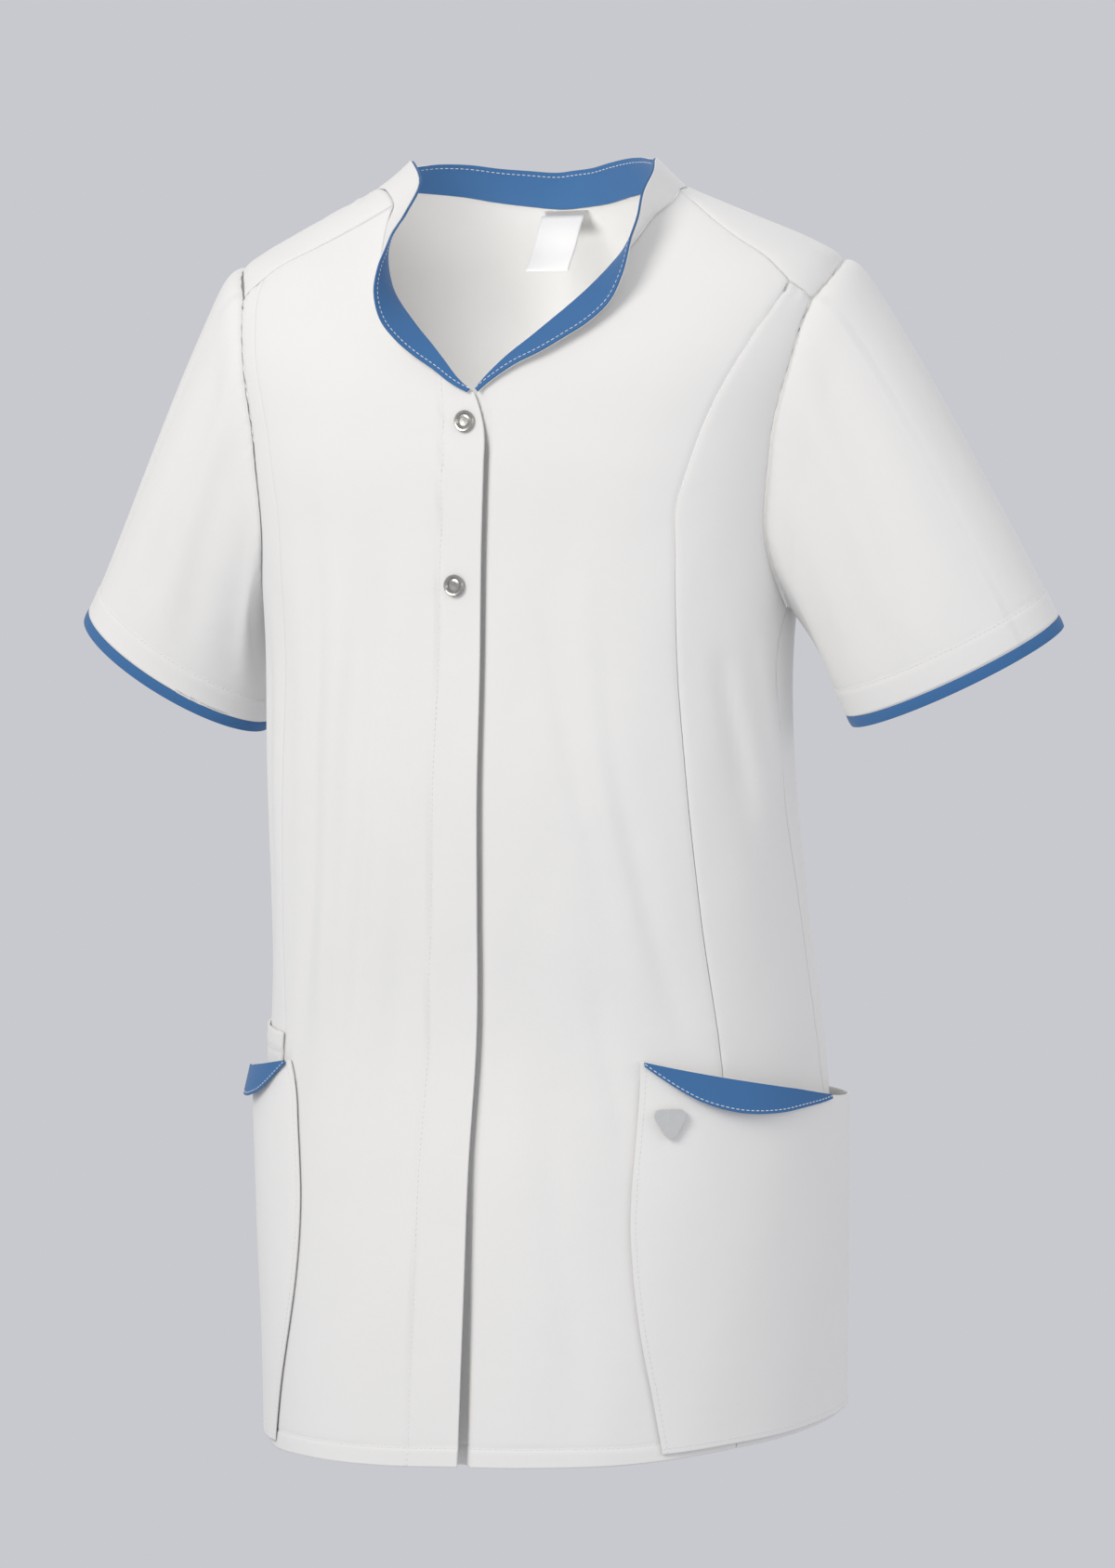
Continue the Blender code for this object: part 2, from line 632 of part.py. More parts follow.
def neck_line():
    """Stations of the neckline from the wearer's left front point round the back to the right one.

    Each has its place, how far along its side's collar it is, and the collar's turn there.
    """
    along = np.concatenate([np.linspace(0.0, 1.0, NECKLINE_COLUMNS + 1), np.linspace(1.0, 2.0, BACK_NECK_COLUMNS + 1)[1:]])
    stations = []
    for side, column in ((1, "left_turn"), (-1, "right_turn")):
        front = seam_line(seam_rows(NECKLINE, side), NECKLINE_COLUMNS)
        front[0] += (front[1] - front[0]) * COLLAR_END_SHARE
        back = seam_line(seam_rows(BACK_NECK, side), BACK_NECK_COLUMNS)
        places = joined(front, back)
        places[:, 0] += 0.0 if side > 0 else 360.0
        stations.append(np.column_stack([places, along, table_column(COLLAR, "along", column, along)]))
    line = joined(stations[0], stations[1][::-1])
    return line[:, :2], line[:, 2], line[:, 3]


def push_out(points, clearance, near):
    """The points, those too close to the worn surface moved out to the clearance."""
    places = places_of(points, near)
    surface = body_points(places)
    normal = body_normal(places[..., 0], places[..., 1])
    height = ((points - surface) * normal).sum(-1)
    short = np.clip(clearance - height, 0.0, None)
    return points + normal * short[..., None]


def collar_points(layer_out):
    """The collar's outer face, moved by layer_out away from its facing side."""
    places, along, turn_deg = neck_line()
    base = body_points(places)
    normal = body_normal(places[:, 0], places[:, 1])
    tangent = unit(np.gradient(base, axis=0))
    inward = unit(np.cross(normal, tangent))
    width = table_column(COLLAR, "along", "width", along)
    turn = np.radians(turn_deg)
    lift = table_column(COLLAR, "along", "lift", along)
    direction = inward * np.cos(turn)[:, None] + normal * np.sin(turn)[:, None]
    facing_away = normal * np.cos(turn)[:, None] - inward * np.sin(turn)[:, None]
    rows = []
    for share in np.linspace(0.0, 1.0, COLLAR_ROWS + 1):
        start = base + inward * COLLAR_SEAM_GAP + normal * lift[:, None]
        row = start + direction * (share * width)[:, None]
        clearance = np.where(turn_deg > 90.0, lift, -1.0)
        row = push_out(row, clearance, places[:, 0])
        rows.append(row + facing_away * layer_out)
    return np.array(rows)


def add_collar(white, blue):
    outer = collar_points(0.0)
    facing = collar_points(-(WALL + LAYER_GAP))

    def neck_middle(points):
        return np.array([0.0, -0.03, 0.0]) + 0 * points

    for name, points, looks in (("collar_outer", outer, white), ("collar_facing", facing, blue)):
        made = sheet(name, points, looks)
        middle = len(made.data.polygons) // (2 * COLLAR_ROWS)
        polygon = made.data.polygons[middle]
        away = Vector(polygon.center) - Vector(neck_middle(np.zeros(3)))
        if polygon.normal.dot(away) < 0:
            made.data.flip_normals()


# ---- Sleeves ----


def armhole_loop(side):
    """The armhole's points from the shoulder seam's end down the front to the underarm and up the back."""
    front = seam_line(seam_rows(ARMHOLE_FRONT, side), ARMHOLE_FRONT_ROWS)
    back = seam_line(seam_rows(ARMHOLE_BACK[::-1], side), ARMHOLE_BACK_ROWS)
    return joined(front, back)[:-1]


def sleeve_frame(side):
    """The sleeve end's centre, its way out across the arm, its way forward, and the sleeve's direction."""
    end = SLEEVE_END[side]
    rise = math.radians(end.rise_deg)
    drop = math.radians(end.drop_deg)
    centre = np.array([side * end.across, end.back, end.height])
    outward = np.array([side * math.cos(rise), 0.0, math.sin(rise)])
    forward = np.array([0.0, -math.cos(drop), -math.sin(drop)])
    forward = unit(forward - outward * forward.dot(outward))
    along = unit(np.cross(outward, forward)) * side
    return centre, outward, forward, along if along[2] < 0 else -along


def sleeve_turns(points):
    """Each armhole point's way round the sleeve, in radians: 0 at the top, a quarter turn at the front."""
    closed = np.concatenate([points, points[:1]])
    lengths = running_length(closed)
    underarm = lengths[ARMHOLE_FRONT_ROWS]
    return math.pi - 2 * math.pi * (underarm - lengths[:-1]) / lengths[-1]


def sleeve_point_rows(side, shares):
    """Rings of the sleeve at shares of its length, from the armhole to its end."""
    places = armhole_loop(side)
    start = body_points(places)
    normal = body_normal(places[:, 0], places[:, 1])
    turns = sleeve_turns(start)
    centre, outward, forward, along = sleeve_frame(side)
    across = np.cos(turns)[:, None] * outward * SLEEVE_END_HALF_WIDTH
    ahead = np.sin(turns)[:, None] * forward * SLEEVE_END_HALF_DEPTH
    end = centre + across + ahead
    top = (1 + np.cos(turns)[:, None]) / 2
    cap_direction = unit(np.array([side * 0.93, 0.0, -0.30]))
    leave = cap_direction * SLEEVE_CAP_REACH * top + along * SLEEVE_UNDER_REACH * (1 - top)
    leave = leave + normal * 0.02 * (1 - top)
    arrive = along * SLEEVE_END_REACH * (0.45 + 0.55 * top)
    first = start + unit(leave) * SLEEVE_START_GAP
    rows = []
    for t in shares:
        held = (1 + 2 * t) * (1 - t) ** 2 * first + t * (1 - t) ** 2 * leave
        rows.append(held + t * t * (3 - 2 * t) * end + t * t * (t - 1) * arrive)
    return np.array(rows)


def sleeve_middle(side):
    def middle(points):
        centre, _, _, along = sleeve_frame(side)
        reach = (points - centre) @ along
        return centre + reach[:, None] * along

    return middle


def add_sleeves(white, blue):
    for side, name in ((1, "left"), (-1, "right")):
        rows = sleeve_point_rows(side, np.linspace(0.0, 1.0, SLEEVE_ROWS + 1))
        sheet(f"sleeve_{name}", rows, white, closed=True, away_from=sleeve_middle(side))
        along = unit(rows[-1] - rows[-2])
        edge = [rows[-1] + along * reach for reach in (CUFF_EDGE_GAP, CUFF_EDGE_GAP + CUFF_EDGE_WIDTH)]
        sheet(f"cuff_edge_{name}", np.array(edge), blue, closed=True, away_from=sleeve_middle(side))


# ---- Pockets ----


def pocket_grid(side, rows=POCKET_ROWS, columns=POCKET_COLUMNS):
    """Places of a side pocket: from its front seam round the side, from just above the hem to its mouth."""
    front = seam_line(seam_rows(POCKET_FRONT[::-1], side), rows)
    mouth = seam_line(seam_rows(POCKET_MOUTH, side), columns)
    foot = seam_rows((POCKET_REAR_HEM,), side)[0]
    rear = seam_line([foot, mouth[-1]], rows)
    bottom = hem_line(front[0, 0], foot[0], np.linspace(0.0, 1.0, columns + 1))
    bottom[:, 1] += np.linspace(front[0, 1] - bottom[0, 1], foot[1] - bottom[-1, 1], columns + 1)
    return patch(bottom, mouth, front, rear)


def pocket_out(along, up):
    """How far a pocket stands off the panels, along its width from the front and up from the hem."""
    mouth = table_column(POCKET_BULGE, "along", "mouth", along)
    hem = table_column(POCKET_BULGE, "along", "hem", along)
    return hem + (mouth - hem) * up**1.2


def flap_points(side):
    """The turned-out mouth of a pocket: a crescent that hangs from the mouth over the pocket's outer side."""
    fine = pocket_grid(side)
    start, end = POCKET_FLAP[0].along, POCKET_FLAP[-1].along
    along = np.linspace(start, end, FLAP_COLUMNS + 1)
    columns = np.linspace(0.0, 1.0, POCKET_COLUMNS + 1)
    mouth = np.stack([np.interp(along, columns, fine[-1, :, k]) for k in (0, 1)], -1)
    width = table_column(POCKET_FLAP, "along", "width", along)
    flare = table_column(POCKET_FLAP, "along", "flare", along)
    rows = []
    for share in np.linspace(0.0, 1.0, FLAP_ROWS + 1):
        places = mouth.copy()
        places[:, 1] -= share * width
        up = 1.0 - share * width / (mouth[:, 1] - hem_height(mouth[:, 0]))
        out = pocket_out(along, up) + FLAP_CLEARANCE + WALL + flare * share
        rows.append(body_points(places, out))
    return np.array(rows)


def add_pockets(white, blue):
    up = np.linspace(0.0, 1.0, POCKET_ROWS + 1)[:, None]
    along = np.linspace(0.0, 1.0, POCKET_COLUMNS + 1)[None]
    for side, name in ((1, "left"), (-1, "right")):
        out = pocket_out(along + 0 * up, up + 0 * along) + WALL
        sheet(f"pocket_{name}", body_points(pocket_grid(side), out), white, away_from=body_middle)
        sheet(f"pocket_facing_{name}", flap_points(side), blue, away_from=body_middle)
    angles = np.linspace(*PHONE_POCKET_ANGLES, PHONE_POCKET_COLUMNS + 1)
    heights = np.linspace(*PHONE_POCKET_HEIGHTS, PHONE_POCKET_ROWS + 1)
    grid = np.stack(np.meshgrid(angles, heights), -1)
    sheet("phone_pocket", body_points(grid, PHONE_POCKET_OUT + WALL), white, away_from=body_middle)


# ---- Small pieces ----


def frame_at(place, out):
    """A matrix whose Z axis is the surface's normal at a place and whose X axis runs level."""
    spot = np.array([place.angle, place.height])
    normal = Vector(body_normal(*spot))
    level = Vector((-normal.y, normal.x, 0.0)).normalized()
    upright = normal.cross(level)
    axes = Matrix((level, upright, normal)).transposed().to_4x4()
    return Matrix.Translation(Vector(body_points(spot, out))) @ axes


def add_object(name, mesh, looks, matrix):
    mesh.materials.append(looks)
    made = bpy.data.objects.new(name, mesh)
    made.matrix_world = matrix
    bpy.data.collections[COLLECTION].objects.link(made)
    return made


def turned(name, profile, looks, matrix, steps=24):
    """A turned piece about its own Z axis; the profile runs down its outer side, as (radius, height)."""
    mesh = bpy.data.meshes.new(name)
    links = [(i, i + 1) for i in range(len(profile) - 1)]
    mesh.from_pydata([(radius, 0.0, height) for radius, height in profile], links, [])
    made = add_object(name, mesh, looks, matrix)
    screw = made.modifiers.new("Turn", "SCREW")
    screw.steps = steps
    screw.render_steps = steps
    screw.use_merge_vertices = True
    screw.merge_threshold = 0.00005
    screw.use_smooth_shade = True
    screw.use_normal_calculate = True
    return made


def add_snaps(metal):
    """Ring-relief snap caps, each a low dome with a raised rim and a plain middle."""
    profile = (
        (0.0, 0.62 * SNAP_HEIGHT),
        (0.42 * SNAP_RADIUS, 0.66 * SNAP_HEIGHT),
        (0.60 * SNAP_RADIUS, 0.50 * SNAP_HEIGHT),
        (0.74 * SNAP_RADIUS, 0.92 * SNAP_HEIGHT),
        (0.88 * SNAP_RADIUS, SNAP_HEIGHT),
        (0.98 * SNAP_RADIUS, 0.72 * SNAP_HEIGHT),
        (SNAP_RADIUS, 0.30 * SNAP_HEIGHT),
        (0.94 * SNAP_RADIUS, 0.0),
        (0.0, 0.0),
    )
    for name, place in SNAPS.items():
        turned(name, profile, metal, frame_at(place, LAYER_GAP))


def add_badge(metal):
    """A plain rounded triangle, point down, lying on the wearer's left pocket."""
    outline = []
    for corner in range(3):
        middle = math.radians(-90 + 120 * corner)
        centre = (BADGE_RADIUS - BADGE_CORNER) * math.cos(middle), (BADGE_RADIUS - BADGE_CORNER) * math.sin(middle)
        for step in range(7):
            turn = middle + math.radians(-60 + 20 * step)
            outline.append((centre[0] + BADGE_CORNER * math.cos(turn), centre[1] + BADGE_CORNER * math.sin(turn)))
    curve = bpy.data.curves.new("pocket_badge", "CURVE")
    curve.dimensions = "2D"
    curve.fill_mode = "BOTH"
    curve.extrude = BADGE_THICKNESS / 2
    spline = curve.splines.new("POLY")
    spline.points.add(len(outline) - 1)
    for point, (x, y) in zip(spline.points, outline):
        point.co = (x, y, 0.0, 1.0)
    spline.use_cyclic_u = True
    out = float(pocket_out(BADGE_ALONG, 1.0)) + WALL + BADGE_LAY + BADGE_THICKNESS / 2
    tilt = Matrix.Rotation(math.radians(-BADGE_TILT_DEG), 4, "Y")
    add_object("pocket_badge", curve, metal, frame_at(BADGE_PLACE, out) @ tilt)


def add_label(white):
    """A plain woven label, hanging free inside the back neck."""
    top = body_points(np.array([LABEL_TOP.angle, LABEL_TOP.height]), -(WALL + LABEL_INSIDE))
    half = LABEL_WIDTH / 2
    lean = math.radians(LABEL_LEAN_DEG)
    rows = []
    for share in (0.0, 0.33, 0.66, 1.0):
        down = share * LABEL_LENGTH
        slant = -down * math.tan(lean)
        bow = -0.004 * share
        rows.append([(x + slant, bow, -down) for x in (-half, 0.0, half)])
    points = np.array(rows) + top
    sheet("neck_label", points, white, wall=LABEL_THICKNESS)


def build():
    for old in list(bpy.data.objects):
        bpy.data.objects.remove(old)
    bpy.context.scene.collection.children.link(bpy.data.collections.new(COLLECTION))
    white = material("white_twill", WHITE, 0.85)
    blue = material("blue_twill", BLUE, 0.85)
    metal = material("nickel", METAL, 0.30, 1.0)
    add_panels(white)
    add_collar(white, blue)
    add_sleeves(white, blue)
    add_pockets(white, blue)
    add_snaps(metal)
    add_badge(metal)
    add_label(white)


build()
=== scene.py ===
"""Looks of a short-sleeved work tunic, worn and hollow.

Every cloth piece is the solid's own form, read more finely, with its folds, seams, hems and stitching. Metres, +Z up,
front towards -Y, the wearer's left towards +X. A place on the body cloth is an angle in degrees from the front
centre, positive towards the wearer's left, and a height.
"""

import math
from collections import namedtuple

import bpy
import numpy as np
from mathutils import Matrix, Vector


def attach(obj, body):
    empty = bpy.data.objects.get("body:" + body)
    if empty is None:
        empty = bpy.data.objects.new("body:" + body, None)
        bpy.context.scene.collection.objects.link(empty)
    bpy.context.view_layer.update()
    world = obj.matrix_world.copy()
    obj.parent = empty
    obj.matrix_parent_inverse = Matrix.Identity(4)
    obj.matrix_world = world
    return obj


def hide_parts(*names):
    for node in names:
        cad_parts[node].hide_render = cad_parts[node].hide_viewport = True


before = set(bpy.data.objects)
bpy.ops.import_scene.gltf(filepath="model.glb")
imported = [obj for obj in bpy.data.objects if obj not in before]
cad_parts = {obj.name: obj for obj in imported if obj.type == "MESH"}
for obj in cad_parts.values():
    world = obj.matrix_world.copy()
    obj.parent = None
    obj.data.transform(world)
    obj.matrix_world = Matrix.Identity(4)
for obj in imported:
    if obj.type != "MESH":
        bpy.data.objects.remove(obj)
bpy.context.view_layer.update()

# Cloth and seams
WALL = 0.0010
SEAM_INSET = 0.0002
FRONT_TOP_INSET = 0.0001
SPINE_TOP = -0.12
RELAX_STEPS = 24
HALVINGS = 26
FINE_STEPS = 160
SLOPE_STEP_DEG = 0.05
SLOPE_STEP_HEIGHT = 0.0002

# Rows and columns of the panels' grids
SIDE_SEAM_ROWS = 18
ARMHOLE_FRONT_ROWS = 10
ARMHOLE_BACK_ROWS = 12
FRONT_ROWS = SIDE_SEAM_ROWS + ARMHOLE_FRONT_ROWS
NECKLINE_COLUMNS = 12
SHOULDER_COLUMNS = 4
SHOULDER_TIP_COLUMNS = 1
SIDE_FRONT_COLUMNS = 5
BACK_NECK_COLUMNS = 8
UNDERLAP_COLUMNS = 2

BodyRing = namedtuple("BodyRing", "height half_width front back shift square_front square_back")
BODY_RINGS = (
    BodyRing(0.012, 0.066, 0.022, 0.040, -0.022, 2.0, 2.0),
    BodyRing(0.000, 0.096, 0.032, 0.046, -0.020, 2.0, 2.0),
    BodyRing(-0.010, 0.119, 0.042, 0.052, -0.017, 2.0, 2.0),
    BodyRing(-0.022, 0.147, 0.053, 0.058, -0.012, 2.0, 2.0),
    BodyRing(-0.034, 0.174, 0.064, 0.064, -0.006, 2.1, 2.1),
    BodyRing(-0.044, 0.191, 0.074, 0.070, -0.003, 2.2, 2.2),
    BodyRing(-0.055, 0.197, 0.082, 0.075, -0.002, 2.3, 2.2),
    BodyRing(-0.090, 0.196, 0.099, 0.087, -0.006, 2.4, 2.4),
    BodyRing(-0.150, 0.179, 0.105, 0.099, -0.012, 2.5, 2.5),
    BodyRing(-0.210, 0.168, 0.101, 0.099, -0.017, 2.5, 2.5),
    BodyRing(-0.265, 0.164, 0.100, 0.095, -0.020, 2.4, 2.4),
    BodyRing(-0.340, 0.165, 0.104, 0.093, -0.020, 2.3, 2.3),
    BodyRing(-0.420, 0.169, 0.111, 0.094, -0.012, 2.2, 2.2),
    BodyRing(-0.500, 0.174, 0.120, 0.100, -0.001, 2.2, 2.2),
    BodyRing(-0.580, 0.178, 0.136, 0.109, 0.003, 2.1, 2.1),
    BodyRing(-0.670, 0.179, 0.151, 0.119, 0.007, 2.1, 2.1),
    BodyRing(-0.780, 0.178, 0.165, 0.129, 0.011, 2.1, 2.1),
)

# Largest folds: long soft troughs and ridges of the worn cloth
Fold = namedtuple("Fold", "angle_top height_top angle_bottom height_bottom half_width depth")
FOLDS = (
    Fold(-34, -0.20, -40, -0.44, 7.0, 0.0030),
    Fold(-60, -0.24, -58, -0.48, 6.0, 0.0025),
    Fold(64, -0.27, 82, -0.42, 5.0, 0.0020),
    Fold(114, -0.24, 106, -0.38, 6.0, 0.0025),
    Fold(-114, -0.24, -106, -0.38, 6.0, 0.0025),
)

# Seams, for each side: angle from the front centre outward, and height
Seam = namedtuple("Seam", "left_angle left_height right_angle right_height")
NECKLINE = (
    Seam(7.2, -0.1210, -6.6, -0.1210),
    Seam(14.5, -0.1065, -1.0, -0.1130),
    Seam(25.8, -0.0895, 5.8, -0.1005),
    Seam(37.5, -0.0705, 19.2, -0.0810),
    Seam(45.2, -0.0570, 30.2, -0.0655),
    Seam(53.0, -0.0430, 41.2, -0.0465),
    Seam(59.2, -0.0340, 46.2, -0.0395),
    Seam(65.2, -0.0255, 52.5, -0.0285),
    Seam(84.0, -0.0060, 63.2, -0.0105),
)
BACK_NECK = (
    Seam(84.0, -0.0060, 63.2, -0.0105),
    Seam(94.0, -0.0030, 76.0, -0.0015),
    Seam(107.0, -0.0025, 94.0, 0.0005),
    Seam(126.0, -0.0050, 120.0, -0.0025),
    Seam(150.0, -0.0100, 148.0, -0.0085),
    Seam(180.0, -0.0120, 180.0, -0.0120),
)
SHOULDER = (
    Seam(84.0, -0.0060, 63.2, -0.0105),
    Seam(79.5, -0.0185, 66.0, -0.0245),
    Seam(75.5, -0.0390, 68.8, -0.0400),
    Seam(76.5, -0.0595, 70.5, -0.0520),
)
SHOULDER_TIP = (
    Seam(76.5, -0.0595, 70.5, -0.0520),
    Seam(80.0, -0.0700, 73.0, -0.0630),
)
ARMHOLE_FRONT = (
    Seam(80.0, -0.0700, 73.0, -0.0630),
    Seam(78.0, -0.0870, 70.0, -0.0800),
    Seam(76.8, -0.1050, 67.5, -0.0980),
    Seam(76.2, -0.1380, 65.8, -0.1380),
    Seam(77.5, -0.1750, 66.5, -0.1750),
    Seam(78.8, -0.2000, 68.0, -0.2050),
    Seam(82.0, -0.2200, 71.5, -0.2250),
    Seam(86.8, -0.2355, 77.5, -0.2400),
    Seam(92.0, -0.2480, 86.0, -0.2490),
)
ARMHOLE_BACK = (
    Seam(80.0, -0.0700, 73.0, -0.0630),
    Seam(86.0, -0.0555, 79.0, -0.0500),
    Seam(94.0, -0.0470, 88.0, -0.0445),
    Seam(103.0, -0.0570, 99.0, -0.0550),
    Seam(109.0, -0.0900, 108.0, -0.0900),
    Seam(111.0, -0.1400, 110.0, -0.1400),
    Seam(108.0, -0.1900, 107.0, -0.1900),
    Seam(101.0, -0.2300, 98.0, -0.2300),
    Seam(92.0, -0.2480, 86.0, -0.2490),
)
SIDE_SEAM = (
    Seam(92.0, -0.2480, 86.0, -0.2490),
    Seam(88.0, -0.2700, 86.0, -0.2800),
    Seam(87.5, -0.3100, 86.5, -0.3200),
    Seam(89.0, -0.3600, 87.0, -0.3700),
    Seam(91.0, -0.4200, 88.0, -0.4300),
    Seam(92.0, -0.5000, 89.0, -0.5100),
    Seam(93.0, -0.6000, 90.0, -0.6200),
    Seam(93.0, -0.7310, 90.0, -0.7570),
)
PRINCESS = (
    Seam(76.5, -0.0595, 70.5, -0.0520),
    Seam(70.8, -0.0850, 65.5, -0.0800),
    Seam(66.0, -0.1105, 61.5, -0.1100),
    Seam(60.2, -0.1645, 58.5, -0.1650),
    Seam(58.8, -0.1830, 58.2, -0.1830),
    Seam(59.5, -0.2165, 59.0, -0.2165),
    Seam(61.5, -0.2975, 61.0, -0.2975),
    Seam(62.5, -0.3750, 62.5, -0.3750),
    Seam(63.0, -0.4515, 62.0, -0.4515),
    Seam(63.5, -0.5150, 59.0, -0.5150),
    Seam(63.0, -0.6000, 57.0, -0.6000),
    Seam(61.0, -0.7325, 58.0, -0.7565),
)
HEM = (
    Seam(0.0, -0.7410, 0.0, -0.7410),
    Seam(20.0, -0.7385, 13.0, -0.7445),
    Seam(38.0, -0.7365, 38.5, -0.7505),
    Seam(61.0, -0.7325, 58.0, -0.7565),
    Seam(93.0, -0.7310, 90.0, -0.7570),
    Seam(130.0, -0.7370, 130.0, -0.7530),
    Seam(180.0, -0.7450, 180.0, -0.7450),
)

# Front closing: the right front's free edge, and the left front's edge hidden under it
Place = namedtuple("Place", "angle height")
FRONT_EDGE = (
    Place(6.9, -0.1210),
    Place(10.0, -0.1350),
    Place(10.8, -0.1480),
    Place(10.7, -0.1620),
    Place(9.8, -0.2130),
    Place(9.2, -0.3145),
    Place(7.0, -0.4295),
    Place(4.4, -0.5640),
    Place(4.0, -0.6600),
    Place(3.5, -0.7400),
)
UNDERLAP_DEG = 16.0
UNDERLAP_DROP = 0.018
UNDERLAP_HEM_SHARE = 0.16

# Stand collar and lapels, along the neckline: 0 at the front point, 1 at the shoulder seam, 2 at the back centre.
# The turn is from the cloth's own direction (0) over its outer side (90) to lying back on it (180).
CollarRow = namedtuple("CollarRow", "along width left_turn right_turn lift")
COLLAR = (
    CollarRow(0.00, 0.0025, 165, 160, 0.0007),
    CollarRow(0.14, 0.0075, 165, 160, 0.0007),
    CollarRow(0.29, 0.0155, 167, 148, 0.0007),
    CollarRow(0.43, 0.0210, 168, 130, 0.0007),
    CollarRow(0.50, 0.0220, 163, 111, 0.0007),
    CollarRow(0.57, 0.0225, 146, 90, 0.0005),
    CollarRow(0.64, 0.0225, 126, 73, 0.0003),
    CollarRow(0.71, 0.0225, 112, 57, 0.0001),
    CollarRow(0.79, 0.0225, 95, 45, 0.0000),
    CollarRow(0.86, 0.0225, 75, 37, 0.0000),
    CollarRow(1.00, 0.0230, 38, 17, 0.0000),
    CollarRow(1.12, 0.0235, 22, 12, 0.0000),
    CollarRow(1.50, 0.0240, 15, 9, 0.0000),
    CollarRow(2.00, 0.0240, 14, 14, 0.0000),
)
COLLAR_END_SHARE = 0.15
COLLAR_ROWS = 3
COLLAR_SEAM_GAP = 0.0001
LYING_BACK_DEG = 90.0

# Sleeves: the end's centre, the rise of its outer side and the drop of its front side
SleeveEnd = namedtuple("SleeveEnd", "across back height rise_deg drop_deg")
SLEEVE_END = {1: SleeveEnd(0.2558, 0.0116, -0.2812, 23.0, 15.0), -1: SleeveEnd(0.2548, 0.0102, -0.2879, 31.7, 1.0)}
SLEEVE_END_HALF_WIDTH = 0.069
SLEEVE_END_HALF_DEPTH = 0.053
SLEEVE_CAP_REACH = 0.085
SLEEVE_UNDER_REACH = 0.050
SLEEVE_END_REACH = 0.150
SLEEVE_CAP_SLOPE = 0.3226
SLEEVE_UNDER_OUT = 0.02
SLEEVE_UNDER_SHARE = 0.45
SLEEVE_START_GAP = 0.0001
CUFF_EDGE_WIDTH = 0.0068
CUFF_EDGE_GAP = 0.0003

# Side pockets
POCKET_FRONT = (
    Seam(46.8, -0.5045, 55.0, -0.5185),
    Seam(45.8, -0.5260, 52.5, -0.5300),
    Seam(44.0, -0.5565, 49.0, -0.5605),
    Seam(42.0, -0.5955, 45.8, -0.5930),
    Seam(41.8, -0.6305, 44.8, -0.6400),
    Seam(42.8, -0.6720, 46.5, -0.6800),
    Seam(44.0, -0.6970, 49.5, -0.7150),
    Seam(45.4, -0.7310, 52.5, -0.7500),
)
POCKET_MOUTH = (
    Seam(46.8, -0.5045, 55.0, -0.5185),
    Seam(53.0, -0.5085, 61.0, -0.5225),
    Seam(63.2, -0.5155, 68.0, -0.5270),
    Seam(76.5, -0.5255, 80.0, -0.5330),
    Seam(88.0, -0.5350, 92.0, -0.5400),
    Seam(99.0, -0.5390, 100.0, -0.5430),
    Seam(111.0, -0.5400, 110.0, -0.5440),
)
POCKET_REAR_HEM = Seam(111.0, -0.7300, 110.0, -0.7530)
POCKET_ROWS = 12
POCKET_COLUMNS = 11
PocketBulge = namedtuple("PocketBulge", "along mouth hem")
POCKET_BULGE = (
    PocketBulge(0.00, 0.0012, 0.0012),
    PocketBulge(0.06, 0.0032, 0.0018),
    PocketBulge(0.15, 0.0058, 0.0024),
    PocketBulge(0.50, 0.0120, 0.0032),
    PocketBulge(0.75, 0.0120, 0.0032),
    PocketBulge(1.00, 0.0012, 0.0012),
)
FlapRow = namedtuple("FlapRow", "along width flare")
POCKET_FLAP = (
    FlapRow(0.01, 0.0025, 0.0004),
    FlapRow(0.07, 0.0090, 0.0008),
    FlapRow(0.14, 0.0155, 0.0020),
    FlapRow(0.24, 0.0190, 0.0045),
    FlapRow(0.36, 0.0165, 0.0040),
    FlapRow(0.50, 0.0085, 0.0015),
    FlapRow(0.60, 0.0025, 0.0004),
)
FLAP_COLUMNS = 12
FLAP_ROWS = 3
FLAP_CLEARANCE = 0.0018

# Small pocket above the wearer's right pocket
PHONE_POCKET_ANGLES = (-59.5, -84.0)
PHONE_POCKET_HEIGHTS = (-0.6250, -0.5035)
PHONE_POCKET_OUT = 0.0010

# Neck label, on the inside of the back below the collar
LABEL_WIDTH = 0.028
LABEL_LENGTH = 0.033
LABEL_TOP = Place(179.0, -0.0135)
LABEL_LEAN_DEG = 15.0
LABEL_INSIDE = 0.0035
LABEL_BOW = 0.004
LABEL_WAVE = 0.0006
LABEL_WAVE_TURN = 2.6 * math.pi
LABEL_HOLLOW = 0.0012
LABEL_STITCH = 0.0018
LABEL_WALL = 0.0007


# ---- The worn surface ----


def smooth_interp(at, knots, values):
    """A smooth curve through the knots, with each knot's slope from its two neighbours."""
    knots = np.asarray(knots, float)
    values = np.asarray(values, float)
    steps = np.diff(knots)
    rises = np.diff(values) / steps
    slopes = np.empty_like(values)
    slopes[0] = rises[0]
    slopes[-1] = rises[-1]
    slopes[1:-1] = (rises[:-1] * steps[1:] + rises[1:] * steps[:-1]) / (steps[:-1] + steps[1:])
    i = np.clip(np.searchsorted(knots, at) - 1, 0, len(knots) - 2)
    step = knots[i + 1] - knots[i]
    t = np.clip((at - knots[i]) / step, 0.0, 1.0)
    start = (1 + 2 * t) * (1 - t) ** 2 * values[i] + t * (1 - t) ** 2 * step * slopes[i]
    end = t * t * (3 - 2 * t) * values[i + 1] + t * t * (t - 1) * step * slopes[i + 1]
    return start + end


def table_column(rows, knot_name, value_name, at):
    """A column of a table, read smoothly at values of its knot column."""
    rows = sorted(rows, key=lambda row: getattr(row, knot_name))
    knots = [getattr(row, knot_name) for row in rows]
    return smooth_interp(at, knots, [getattr(row, value_name) for row in rows])


